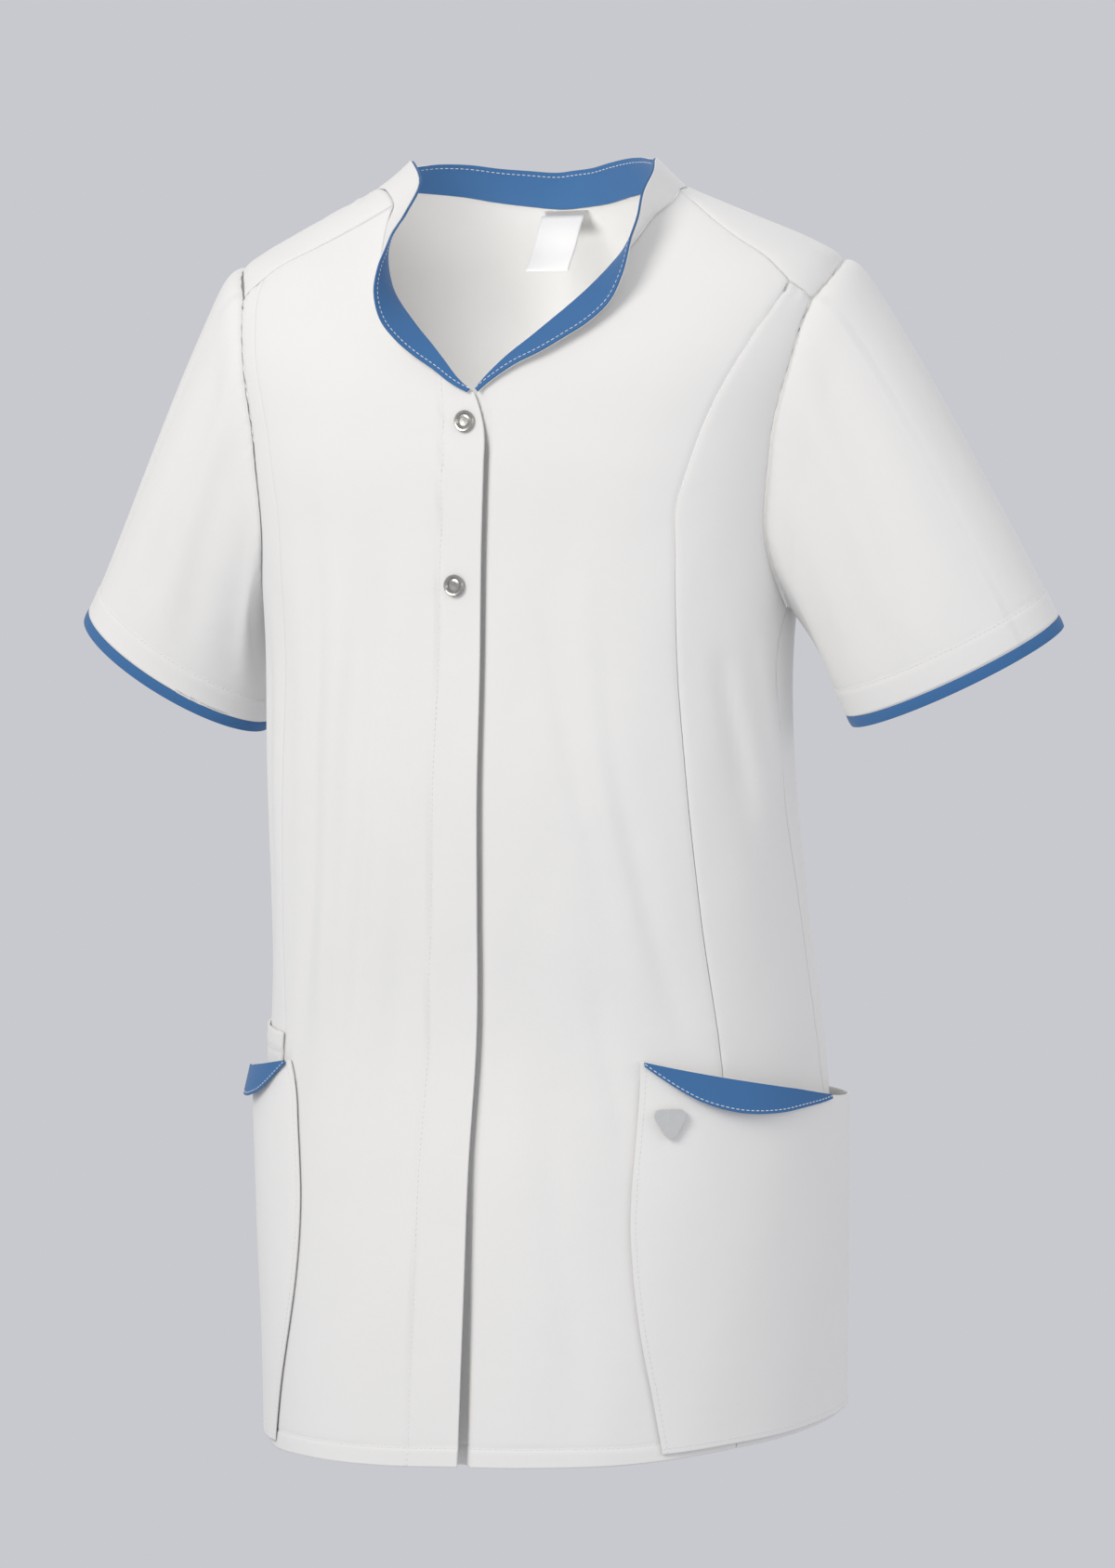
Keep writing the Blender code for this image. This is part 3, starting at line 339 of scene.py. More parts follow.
def fold_depth(angle, height):
    """How far the folds draw the cloth in at a place."""
    depth = np.zeros_like(angle)
    wrapped = (angle + 180.0) % 360.0 - 180.0
    for fold in FOLDS:
        down = (fold.height_top - height) / (fold.height_top - fold.height_bottom)
        centre = fold.angle_top + (fold.angle_bottom - fold.angle_top) * down
        across = np.exp(-(((wrapped - centre) / fold.half_width) ** 2))
        lengthwise = np.exp(-((2.2 * (down - 0.5)) ** 4))
        depth = depth + fold.depth * across * lengthwise
    return depth


def body_surface(angle, height):
    """Points of the worn surface at places given in degrees and metres."""
    angle, height = np.broadcast_arrays(np.asarray(angle, float), np.asarray(height, float))
    turn = np.radians(angle)
    ahead = np.cos(turn) > 0
    half_width, front, back, shift, square_front, square_back = (
        table_column(BODY_RINGS, "height", name, height) for name in BodyRing._fields[1:]
    )
    depth = np.where(ahead, front, back)
    square = np.where(ahead, square_front, square_back)
    across = np.abs(np.sin(turn)) / half_width
    along = np.abs(np.cos(turn)) / depth
    radius = (across**square + along**square) ** (-1.0 / square) - fold_depth(angle, height)
    return np.stack([radius * np.sin(turn), shift - radius * np.cos(turn), height + 0.0 * radius], -1)


def unit(vectors):
    return vectors / np.linalg.norm(vectors, axis=-1, keepdims=True)


def body_normal(angle, height):
    """Outward directions of the worn surface."""
    angle, height = np.broadcast_arrays(np.asarray(angle, float), np.asarray(height, float))
    round_step = body_surface(angle + SLOPE_STEP_DEG, height) - body_surface(angle - SLOPE_STEP_DEG, height)
    up_step = body_surface(angle, height + SLOPE_STEP_HEIGHT) - body_surface(angle, height - SLOPE_STEP_HEIGHT)
    return unit(np.cross(round_step, up_step))


def body_points(places, out=0.0):
    """Points over places, an array whose last axis is (angle, height), moved out along the surface's normal."""
    angle, height = places[..., 0], places[..., 1]
    out = np.broadcast_to(np.asarray(out, float), angle.shape)
    return body_surface(angle, height) + body_normal(angle, height) * out[..., None]


def places_of(points, turns=0.0):
    """Places of the worn surface that lie in line with points, seen from the garment's middle.

    turns is an angle near the answer, so that places behind the back centre run on past 180 degrees.
    """
    points = np.asarray(points, float)
    spine_height = np.minimum(points[..., 2], SPINE_TOP)
    spine = np.stack([0 * spine_height, table_column(BODY_RINGS, "height", "shift", spine_height), spine_height], -1)
    ray = points - spine
    low = np.zeros(points.shape[:-1])
    high = np.full(points.shape[:-1], 3.0)
    for _ in range(HALVINGS):
        middle = (low + high) / 2
        trial = spine + ray * middle[..., None]
        shift = table_column(BODY_RINGS, "height", "shift", trial[..., 2])
        angle = np.degrees(np.arctan2(trial[..., 0], shift - trial[..., 1]))
        height = np.minimum(trial[..., 2], BODY_RINGS[0].height)
        reach = np.hypot(trial[..., 0], trial[..., 1] - shift)
        surface = body_surface(angle, height)
        inside = reach < np.hypot(surface[..., 0], surface[..., 1] - shift)
        inside &= trial[..., 2] <= BODY_RINGS[0].height
        low = np.where(inside, middle, low)
        high = np.where(inside, high, middle)
    angle = turns + (angle - turns + 180.0) % 360.0 - 180.0
    return np.stack([angle, height], -1)


# ---- Seams and panels ----


def seam_rows(table, side):
    """A seam table's (angle, height) rows for one side: 1 is the wearer's left, -1 the right."""
    if side > 0:
        return np.array([(row.left_angle, row.left_height) for row in table])
    return np.array([(-row.right_angle, row.right_height) for row in table])


def running_length(points):
    return np.concatenate([[0.0], np.cumsum(np.linalg.norm(np.diff(points, axis=0), axis=1))])


def seam_line(rows, count):
    """count + 1 places, evenly spaced along the smooth line through the rows."""
    rows = np.asarray(rows, float)
    knots = running_length(body_surface(rows[:, 0], rows[:, 1]))
    fine = np.linspace(0.0, knots[-1], FINE_STEPS)
    places = np.stack([smooth_interp(fine, knots, rows[:, 0]), smooth_interp(fine, knots, rows[:, 1])], -1)
    lengths = running_length(body_surface(places[:, 0], places[:, 1]))
    even = np.linspace(0.0, lengths[-1], count + 1)
    return np.stack([np.interp(even, lengths, places[:, 0]), np.interp(even, lengths, places[:, 1])], -1)


def joined(*lines):
    """Lines that follow each other, as one line."""
    return np.concatenate([lines[0]] + [line[1:] for line in lines[1:]])


def hem_height(angle):
    angles = []
    heights = []
    for side, table in ((-1, HEM[:0:-1]), (1, HEM)):
        for row_angle, row_height in seam_rows(table, side):
            angles.append(row_angle)
            heights.append(row_height)
    wrapped = (np.asarray(angle, float) + 180.0) % 360.0 - 180.0
    return smooth_interp(wrapped, angles, heights)


def hem_line(start, end, shares):
    """Hem places between two angles, at shares of the way."""
    angle = start + (end - start) * np.asarray(shares)
    return np.stack([angle, hem_height(angle)], -1)


def shares_of(line):
    lengths = running_length(body_surface(line[:, 0], line[:, 1]))
    return lengths / lengths[-1]


def patch(bottom, top, left, right):
    """A grid of places between four edges: rows run from bottom to top, columns from left to right.

    Its inner places are then evened out as a harmonic grid, in which lines never cross, also beside a hollow edge.
    """
    edges = [body_surface(line[:, 0], line[:, 1]) for line in (bottom, top, left, right)]
    low, high, start, end = edges
    u = np.linspace(0.0, 1.0, len(low))[None, :, None]
    v = np.linspace(0.0, 1.0, len(start))[:, None, None]
    rise = (1 - v) * low[None] + v * high[None]
    cross = (1 - u) * start[:, None] + u * end[:, None]
    corners = (1 - v) * ((1 - u) * low[0] + u * low[-1]) + v * ((1 - u) * high[0] + u * high[-1])
    near = (1 - u[..., 0]) * left[:, None, 0] + u[..., 0] * right[:, None, 0]
    grid = places_of(rise + cross - corners, near)
    grid[0], grid[-1], grid[:, 0], grid[:, -1] = bottom, top, left, right
    for _ in range(RELAX_STEPS):
        points = body_surface(grid[..., 0], grid[..., 1])
        before, after, below, above = points[1:-1, :-2], points[1:-1, 2:], points[:-2, 1:-1], points[2:, 1:-1]
        along = (after - before) / 2
        up = (above - below) / 2
        skew = (points[2:, 2:] - points[2:, :-2] - points[:-2, 2:] + points[:-2, :-2]) / 4
        along_square = (along * along).sum(-1, keepdims=True)
        up_square = (up * up).sum(-1, keepdims=True)
        lean = (along * up).sum(-1, keepdims=True)
        even = up_square * (before + after) + along_square * (below + above) - 2 * lean * skew
        even = even / (2 * (up_square + along_square))
        grid[1:-1, 1:-1] = places_of(even, grid[1:-1, 1:-1, 0])
    return grid


def drawn_back(places, top=SEAM_INSET, left=SEAM_INSET, right=SEAM_INSET):
    """The grid of places, drawn back a little from all its seams, so that neighbours don't touch."""
    moved = places.copy()
    edges = (
        (np.s_[0], np.s_[1], SEAM_INSET),
        (np.s_[:, 0], np.s_[:, 1], left),
        (np.s_[:, -1], np.s_[:, -2], right),
        (np.s_[-1], np.s_[-2], top),
    )
    for edge, inner, gap in edges:
        points = body_points(moved[edge])
        run = unit(np.gradient(points, axis=0))
        step = body_points(moved[inner]) - points
        step = unit(step - run * (step * run).sum(-1, keepdims=True))
        moved[edge] = places_of(points + step * gap, moved[edge][:, 0])
    return moved


def front_grid(side):
    """Places of a front: from the closing to the princess seam, from the hem to the neckline and shoulder."""
    neckline = seam_line(seam_rows(NECKLINE, side), NECKLINE_COLUMNS)
    shoulder = seam_line(seam_rows(SHOULDER, side), SHOULDER_COLUMNS)
    princess = seam_line(seam_rows(PRINCESS[::-1], side), FRONT_ROWS)
    edge_rows = np.array(FRONT_EDGE[::-1])
    if side > 0:
        edge_rows[:, 0] -= UNDERLAP_DEG
        edge_rows[-1, 1] -= UNDERLAP_DROP
        first = np.array([edge_rows[-1], neckline[0]])
        neckline = joined(seam_line(first, UNDERLAP_COLUMNS), neckline)
    else:
        neckline[0] = edge_rows[-1]
    edge = seam_line(edge_rows, FRONT_ROWS)
    top = joined(neckline, shoulder)
    bottom = hem_line(edge[0, 0], princess[0, 0], shares_of(top))
    edge[0], princess[0] = bottom[0], bottom[-1]
    return patch(bottom, top, edge, princess)


def side_front_grid(side):
    """Places of a side front: from the princess seam to the side seam and the front of the armhole."""
    princess = seam_line(seam_rows(PRINCESS[::-1], side), FRONT_ROWS)
    side_seam = seam_line(seam_rows(SIDE_SEAM[::-1], side), SIDE_SEAM_ROWS)
    armhole = seam_line(seam_rows(ARMHOLE_FRONT[::-1], side), ARMHOLE_FRONT_ROWS)
    outer = joined(side_seam, armhole)
    top = seam_line(seam_rows(SHOULDER_TIP, side), SIDE_FRONT_COLUMNS)
    bottom = hem_line(princess[0, 0], outer[0, 0], shares_of(top))
    princess[0], outer[0] = bottom[0], bottom[-1]
    return patch(bottom, top, princess, outer)


def back_edge(side):
    side_seam = seam_line(seam_rows(SIDE_SEAM[::-1], side), SIDE_SEAM_ROWS)
    armhole = seam_line(seam_rows(ARMHOLE_BACK[::-1], side), ARMHOLE_BACK_ROWS)
    return joined(side_seam, armhole)


def back_top(side):
    tip = seam_line(seam_rows(SHOULDER_TIP[::-1], side), SHOULDER_TIP_COLUMNS)
    shoulder = seam_line(seam_rows(SHOULDER[::-1], side), SHOULDER_COLUMNS)
    neck = seam_line(seam_rows(BACK_NECK, side), BACK_NECK_COLUMNS)
    return joined(tip, shoulder, neck)


def back_grid():
    """Places of the back: side seam to side seam, and over the shoulders to the forward shoulder seams."""
    whole_turn = np.array([360.0, 0.0])
    left, right = back_edge(1), back_edge(-1) + whole_turn
    left_top, right_top = back_top(1), back_top(-1) + whole_turn
    top = joined(left_top, right_top[::-1])
    half = shares_of(left_top) / 2
    shares = np.concatenate([half, 1.0 - half[-2::-1]])
    bottom = hem_line(left[0, 0], right[0, 0], shares)
    left[0], right[0] = bottom[0], bottom[-1]
    return patch(bottom, top, left, right)


def body_middle(points):
    """The garment's upright middle line at the height of each point."""
    height = points[:, 2]
    return np.stack([0 * height, 0 * height, np.minimum(height, SPINE_TOP)], -1)


# ---- Collar ----


def neck_line():
    """Stations of the neckline from the wearer's left front point round the back to the right one.

    Each has its place, how far along its side's collar it is, and the collar's turn there.
    """
    along = joined(np.linspace(0.0, 1.0, NECKLINE_COLUMNS + 1), np.linspace(1.0, 2.0, BACK_NECK_COLUMNS + 1))
    stations = []
    for side, column in ((1, "left_turn"), (-1, "right_turn")):
        front = seam_line(seam_rows(NECKLINE, side), NECKLINE_COLUMNS)
        front[0] += (front[1] - front[0]) * COLLAR_END_SHARE
        back = seam_line(seam_rows(BACK_NECK, side), BACK_NECK_COLUMNS)
        places = joined(front, back)
        places[:, 0] += 0.0 if side > 0 else 360.0
        stations.append(np.column_stack([places, along, table_column(COLLAR, "along", column, along)]))
    line = joined(stations[0], stations[1][::-1])
    return line[:, :2], line[:, 2], line[:, 3]


def push_out(points, clearance, near):
    """The points, those too close to the worn surface moved out to the clearance."""
    places = places_of(points, near)
    surface = body_points(places)
    normal = body_normal(places[..., 0], places[..., 1])
    height = ((points - surface) * normal).sum(-1)
    short = np.clip(clearance - height, 0.0, None)
    return points + normal * short[..., None]


def collar_points(layer_out, reach=1.0):
    """The collar's outer face, moved by layer_out away from its facing side, to a share of its width."""
    places, along, turn_deg = neck_line()
    base = body_points(places)
    normal = body_normal(places[:, 0], places[:, 1])
    tangent = unit(np.gradient(base, axis=0))
    inward = unit(np.cross(normal, tangent))
    width = table_column(COLLAR, "along", "width", along)
    turn = np.radians(turn_deg)
    lift = table_column(COLLAR, "along", "lift", along)
    direction = inward * np.cos(turn)[:, None] + normal * np.sin(turn)[:, None]
    facing_away = normal * np.cos(turn)[:, None] - inward * np.sin(turn)[:, None]
    rows = []
    for share in np.linspace(0.0, reach, COLLAR_ROWS + 1):
        start = base + inward * COLLAR_SEAM_GAP + normal * lift[:, None]
        row = start + direction * (share * width)[:, None]
        clearance = np.where(turn_deg > LYING_BACK_DEG, lift, -1.0)
        row = push_out(row, clearance, places[:, 0])
        rows.append(row + facing_away * layer_out)
    return np.array(rows)


# ---- Sleeves ----


def armhole_loop(side):
    """The armhole's points from the shoulder seam's end down the front to the underarm and up the back."""
    front = seam_line(seam_rows(ARMHOLE_FRONT, side), ARMHOLE_FRONT_ROWS)
    back = seam_line(seam_rows(ARMHOLE_BACK[::-1], side), ARMHOLE_BACK_ROWS)
    return joined(front, back)[:-1]


def sleeve_frame(side):
    """The sleeve end's centre, its way out across the arm, its way forward, and the sleeve's direction."""
    end = SLEEVE_END[side]
    rise = math.radians(end.rise_deg)
    drop = math.radians(end.drop_deg)
    centre = np.array([side * end.across, end.back, end.height])
    outward = np.array([side * math.cos(rise), 0.0, math.sin(rise)])
    forward = np.array([0.0, -math.cos(drop), -math.sin(drop)])
    forward = unit(forward - outward * forward.dot(outward))
    along = unit(np.cross(outward, forward)) * side
    return centre, outward, forward, along if along[2] < 0 else -along


def sleeve_turns(points):
    """Each armhole point's way round the sleeve, in radians: 0 at the top, a quarter turn at the front."""
    closed = np.concatenate([points, points[:1]])
    lengths = running_length(closed)
    underarm = lengths[ARMHOLE_FRONT_ROWS]
    return math.pi - 2 * math.pi * (underarm - lengths[:-1]) / lengths[-1]


def sleeve_point_rows(side, shares):
    """Rings of the sleeve at shares of its length, from the armhole to its end."""
    places = armhole_loop(side)
    start = body_points(places)
    normal = body_normal(places[:, 0], places[:, 1])
    turns = sleeve_turns(start)
    centre, outward, forward, along = sleeve_frame(side)
    across = np.cos(turns)[:, None] * outward * SLEEVE_END_HALF_WIDTH
    ahead = np.sin(turns)[:, None] * forward * SLEEVE_END_HALF_DEPTH
    end = centre + across + ahead
    top = (1 + np.cos(turns)[:, None]) / 2
    cap_direction = unit(np.array([side, 0.0, -SLEEVE_CAP_SLOPE]))
    leave = cap_direction * SLEEVE_CAP_REACH * top + along * SLEEVE_UNDER_REACH * (1 - top)
    leave = leave + normal * SLEEVE_UNDER_OUT * (1 - top)
    arrive = along * SLEEVE_END_REACH * (SLEEVE_UNDER_SHARE + (1 - SLEEVE_UNDER_SHARE) * top)
    first = start + unit(leave) * SLEEVE_START_GAP
    rows = []
    for t in shares:
        held = (1 + 2 * t) * (1 - t) ** 2 * first + t * (1 - t) ** 2 * leave
        rows.append(held + t * t * (3 - 2 * t) * end + t * t * (t - 1) * arrive)
    return np.array(rows)


def sleeve_middle(side):
    def middle(points):
        centre, _, _, along = sleeve_frame(side)
        reach = (points - centre) @ along
        return centre + reach[:, None] * along

    return middle


# ---- Pockets ----


def pocket_grid(side, rows=POCKET_ROWS, columns=POCKET_COLUMNS):
    """Places of a side pocket: from its front seam round the side, from just above the hem to its mouth."""
    front = seam_line(seam_rows(POCKET_FRONT[::-1], side), rows)
    mouth = seam_line(seam_rows(POCKET_MOUTH, side), columns)
    foot = seam_rows((POCKET_REAR_HEM,), side)[0]
    rear = seam_line([foot, mouth[-1]], rows)
    bottom = hem_line(front[0, 0], foot[0], np.linspace(0.0, 1.0, columns + 1))
    bottom[:, 1] += np.linspace(front[0, 1] - bottom[0, 1], foot[1] - bottom[-1, 1], columns + 1)
    return patch(bottom, mouth, front, rear)


def pocket_out(along, up):
    """How far a pocket stands off the panels, along its width from the front and up from the hem."""
    mouth = table_column(POCKET_BULGE, "along", "mouth", along)
    hem = table_column(POCKET_BULGE, "along", "hem", along)
    return hem + (mouth - hem) * up**1.2


def flap_points(side):
    """The turned-out mouth of a pocket: a crescent that hangs from the mouth over the pocket's outer side."""
    fine = pocket_grid(side)
    start, end = POCKET_FLAP[0].along, POCKET_FLAP[-1].along
    along = np.linspace(start, end, FLAP_COLUMNS + 1)
    columns = np.linspace(0.0, 1.0, POCKET_COLUMNS + 1)
    mouth = np.stack([np.interp(along, columns, fine[-1, :, k]) for k in (0, 1)], -1)
    width = table_column(POCKET_FLAP, "along", "width", along)
    flare = table_column(POCKET_FLAP, "along", "flare", along)
    rows = []
    for share in np.linspace(0.0, 1.0, FLAP_ROWS + 1):
        places = mouth.copy()
        places[:, 1] -= share * width
        up = 1.0 - share * width / (mouth[:, 1] - hem_height(mouth[:, 0]))
        out = pocket_out(along, up) + FLAP_CLEARANCE + WALL + flare * share
        rows.append(body_points(places, out))
    return np.array(rows)


# ==== Looks ====

SIDES = ((1, "left"), (-1, "right"))

# Finer reading of the grids, in cells: steps to a cell, and extra places close to an edge or along a hem
FINER = 4
EDGE_PLACES = (0.05, 0.12)
HEM_PLACES = (0.05, 0.12, 0.18, 0.30, 0.36, 0.40, 0.44, 0.48, 0.62)
CLOTH_WALL = 0.0016
SINGLE_SHARE = 0.5

# Seams, hems and stitches
HEM_DEPTH = 0.0110
PLACKET_WIDTH = 0.0330
FOLD_RISE = 0.0004
GROOVE_DEPTH = 0.00065
GROOVE_WIDTH = 0.0015
PUCKER_DEPTH = 0.00028
PUCKER_PITCH = 0.0105
PUCKER_WIDTH = 0.0070
STITCH_PITCH = 0.0031
STITCH_LENGTH = 0.0023
STITCH_RADIUS = 0.00026
STITCH_SIDES = 5
PLACKET_DRAW = 4.2
FAINT_SEAM = 0.3
FAINT_GAP = 0.00003
ARMHOLE_ROLL = 0.0006
ARMHOLE_ROLL_WIDTH = 0.0050
UNDERARM_TOP = -0.25
CAP_RISE = 0.0024
CAP_RISE_AT = 0.011
OVERLAP_DROP = 0.0056
OVERLAP_HEM_DROP = 0.0060
OVERLAP_FADE_DEG = 3.2
SLEEVE_HEM = 0.0165
SLEEVE_FINE_ROWS = 84
SLEEVE_FINER = 5

# Creases of the worn cloth, each a soft trough (depth > 0) or ridge (depth < 0) between two places
Crease = namedtuple("Crease", "angle_top height_top angle_bottom height_bottom half_width depth")
CREASES = (
    Crease(-47, -0.19, -52, -0.50, 3.2, 0.0022),
    Crease(-28, -0.24, -36, -0.56, 3.0, 0.0016),
    Crease(-40, -0.22, -45, -0.52, 3.0, -0.0016),
    Crease(-70, -0.26, -72, -0.47, 3.4, 0.0018),
    Crease(-18, -0.36, -24, -0.66, 4.0, 0.0010),
    Crease(30, -0.24, 44, -0.43, 3.4, 0.0016),
    Crease(44, -0.30, 57, -0.50, 3.2, 0.0018),
    Crease(40, -0.24, 50, -0.44, 3.0, -0.0012),
    Crease(70, -0.27, 77, -0.36, 2.6, 0.0022),
    Crease(80, -0.26, 88, -0.35, 2.4, -0.0014),
    Crease(24, -0.50, 30, -0.72, 4.5, 0.0012),
    Crease(38, -0.46, 42, -0.56, 2.6, 0.0010),
    Crease(120, -0.20, 128, -0.46, 4.0, 0.0020),
    Crease(138, -0.26, 150, -0.52, 4.0, 0.0016),
    Crease(-122, -0.21, -130, -0.45, 4.0, 0.0020),
    Crease(-142, -0.25, -150, -0.55, 4.2, 0.0016),
    Crease(168, -0.30, 174, -0.62, 5.0, 0.0014),
    Crease(-165, -0.34, -160, -0.66, 5.0, 0.0012),
    Crease(100, -0.56, 104, -0.72, 4.0, 0.0014),
    Crease(-100, -0.56, -106, -0.72, 4.0, 0.0014),
)
RIPPLE_DEPTH = 0.0007
CREASE_STRENGTH = 1.6

BACKDROP = (0.578, 0.584, 0.617)
CAMERA_AZIMUTH = 25.3758
CAMERA_DISTANCE = 2.66
CAMERA_HEIGHT = -0.1064
CAMERA_ASIDE = 0.0079
CAMERA_AIM = -0.357
CAMERA_ROLL = 0.7288
CAMERA_LENS = 101.92
SENSOR = 36.0
INNER_LIGHT = (-0.048, -0.050, -0.150)
INNER_AIM = (0.080, 0.050, -0.060)

# The cut of what shows of each piece of cloth, all round on a sleeve: its widest, its longest and its area
Sheet = namedtuple("Sheet", "piece width length area hangs_from")


# ---- Cloth ----


def read_piece(values, at):
    """Rows of an array, read smoothly at fractional positions."""
    count = len(values)
    if count == 2:
        head, tail = 2 * values[0] - values[1], 2 * values[1] - values[0]
    else:
        head = 3 * values[0] - 3 * values[1] + values[2]
        tail = 3 * values[-1] - 3 * values[-2] + values[-3]
    padded = np.concatenate([[head], values, [tail]])
    i = np.clip(np.floor(at).astype(int), 0, count - 2)
    before, start, end, after = (padded[i + k] for k in range(4))
    t = (at - i).reshape(-1, *[1] * (values.ndim - 1))
    rise = after - before + 3 * (start - end)
    return start + 0.5 * t * (end - before + t * (2 * before - 5 * start + 4 * end - after + t * rise))


def read_rows(values, at, breaks=()):
    """As read_piece, with a corner allowed at each break."""
    ends = [0, *breaks, len(values) - 1]
    out = np.empty((len(at), *values.shape[1:]))
    for low, high in zip(ends[:-1], ends[1:]):
        here = (at >= low) & (at <= high)
        out[here] = read_piece(values[low : high + 1], at[here] - low)
    return out


def positions(count, extra_low=EDGE_PLACES, extra_high=EDGE_PLACES, finer=FINER):
    """Fractional positions along a grid of count cells, closer together at its two ends."""
    even = np.linspace(0, count, count * finer + 1)
    return np.unique(np.round(np.concatenate([even, extra_low, count - np.array(extra_high)]), 4))


def finer_grid(grid, row_breaks=(), column_breaks=(), hem=True):
    """A grid of places, read more finely."""
    rows_at = positions(len(grid) - 1, HEM_PLACES if hem else EDGE_PLACES)
    columns_at = positions(grid.shape[1] - 1)
    tall = read_rows(grid, rows_at, row_breaks)
    return read_rows(tall.swapaxes(0, 1), columns_at, column_breaks).swapaxes(0, 1)


def crease_out(places):
    """How far the creases move the cloth, outward, at places."""
    angle, height = places[..., 0], places[..., 1]
    wrapped = (angle + 180.0) % 360.0 - 180.0
    out = np.zeros_like(height)
    for crease in CREASES:
        down = (crease.height_top - height) / (crease.height_top - crease.height_bottom)
        centre = crease.angle_top + (crease.angle_bottom - crease.angle_top) * down
        across = (wrapped - centre + 180.0) % 360.0 - 180.0
        lengthwise = np.exp(-((2.1 * (down - 0.5)) ** 4))
        out = out - crease.depth * np.exp(-((across / crease.half_width) ** 2)) * lengthwise
    slow = np.sin(np.radians(wrapped * 6.0) + 9.0 * height) * np.sin(21.0 * height + np.radians(wrapped * 3.0))
    quick = np.sin(np.radians(wrapped * 15.0) - 31.0 * height + 1.3) * np.sin(13.0 * height - np.radians(4 * wrapped))
    low = np.clip((-0.15 - height) / 0.08, 0.0, 1.0)
    return CREASE_STRENGTH * out + RIPPLE_DEPTH * low * (slow + 0.5 * quick)


def edge_distance(points):
    """Distances from the left, right, bottom and top edges of a grid of points, along its lines."""
    across = np.linalg.norm(np.diff(points, axis=1), axis=-1)
    up = np.linalg.norm(np.diff(points, axis=0), axis=-1)
    left = np.concatenate([np.zeros((len(points), 1)), np.cumsum(across, axis=1)], axis=1)
    bottom = np.concatenate([np.zeros((1, points.shape[1])), np.cumsum(up, axis=0)], axis=0)
    return {"left": left, "right": left[:, -1:] - left, "bottom": bottom, "top": bottom[-1:] - bottom}


def seam_out(points, seams, share=1.0):
    """The groove along each sewn edge, with its small puckers, at a share of their full depth."""
    distance = edge_distance(points)
    out = np.zeros(points.shape[:2])
    for name in seams.split():
        away = distance[name]
        along = distance["bottom" if name in ("left", "right") else "left"]
        wave = np.sin(2 * math.pi * along / PUCKER_PITCH + 2.0 * np.sin(along * 57.0) + 1.1 * np.sin(along * 23.0))
        uneven = 0.6 + 0.4 * np.sin(along * 31.0 + 0.7)
        out -= share * GROOVE_DEPTH * np.exp(-((away / GROOVE_WIDTH) ** 2))
        out += share * PUCKER_DEPTH * uneven * wave * np.exp(-((away / PUCKER_WIDTH) ** 2))
    return out


def fold_out(away, depth, draw=1.2):
    """The low step of a turned and stitched edge: raised up to its stitches, which draw it in."""
    raised = FOLD_RISE * np.clip((depth + 0.001 - away) / 0.0015, 0.0, 1.0)
    return raised - draw * FOLD_RISE * np.exp(-(((away - depth) / 0.0011) ** 2))


def armhole_out(grid, away):
    """How the cloth rolls in along the armhole, above the underarm."""
    high = np.clip((grid[..., 1] - UNDERARM_TOP) / 0.04, 0.0, 1.0)
    return -ARMHOLE_ROLL * high * np.exp(-((away / ARMHOLE_ROLL_WIDTH) ** 2))


def cloth(name, points, looks, nodes, thick=None, wall=CLOTH_WALL, closed=False, away_from=None, flip=None):
    """A piece of cloth through a grid of points, with UVs in metres, which Solidify thickens inward."""
    rows, columns = points.shape[:2]
    across = columns if closed else columns - 1
    index = np.arange(rows * columns).reshape(rows, columns)
    first = index[:-1, :across]
    second = np.roll(index, -1, axis=1)[:-1, :across]
    faces = np.stack([first, second, second + columns, first + columns], -1).reshape(-1, 4)
    flat = points.reshape(-1, 3)
    distance = edge_distance(points)
    middle = distance["left"][:, columns // 2 : columns // 2 + 1]
    uv = np.stack([distance["left"] - middle, distance["bottom"] + 0 * middle], -1).reshape(-1, 2)
    mesh = bpy.data.meshes.new(name)
    mesh.from_pydata(flat.tolist(), [], faces.tolist())
    layer = mesh.uv_layers.new(name="cloth")
    layer.data.foreach_set("uv", uv[faces].reshape(-1).astype(np.float32))
    if away_from is not None:
        middles = flat[faces].mean(axis=1)
        normals = np.array([polygon.normal for polygon in mesh.polygons])
        flip = (normals * (middles - np.asarray(away_from(middles)))).sum() < 0
    if flip:
        mesh.flip_normals()
    mesh.shade_smooth()
    made = bpy.data.objects.new(name, mesh)
    made.data.materials.append(looks)
    bpy.context.scene.collection.objects.link(made)
    shell = made.modifiers.new("Cloth", "SOLIDIFY")
    shell.thickness = wall
    shell.offset = -1.0
    if thick is not None:
        group = made.vertex_groups.new(name="fold")
        values = np.round(np.clip(thick.reshape(-1), 0.0, 1.0) * 8) / 8
        for value in np.unique(values):
            if value > 0:
                group.add(np.flatnonzero(values == value).tolist(), float(value), "REPLACE")
        shell.vertex_group = "fold"
        shell.thickness_vertex_group = SINGLE_SHARE
    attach(made, "root")
    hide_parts(*nodes)
    return made


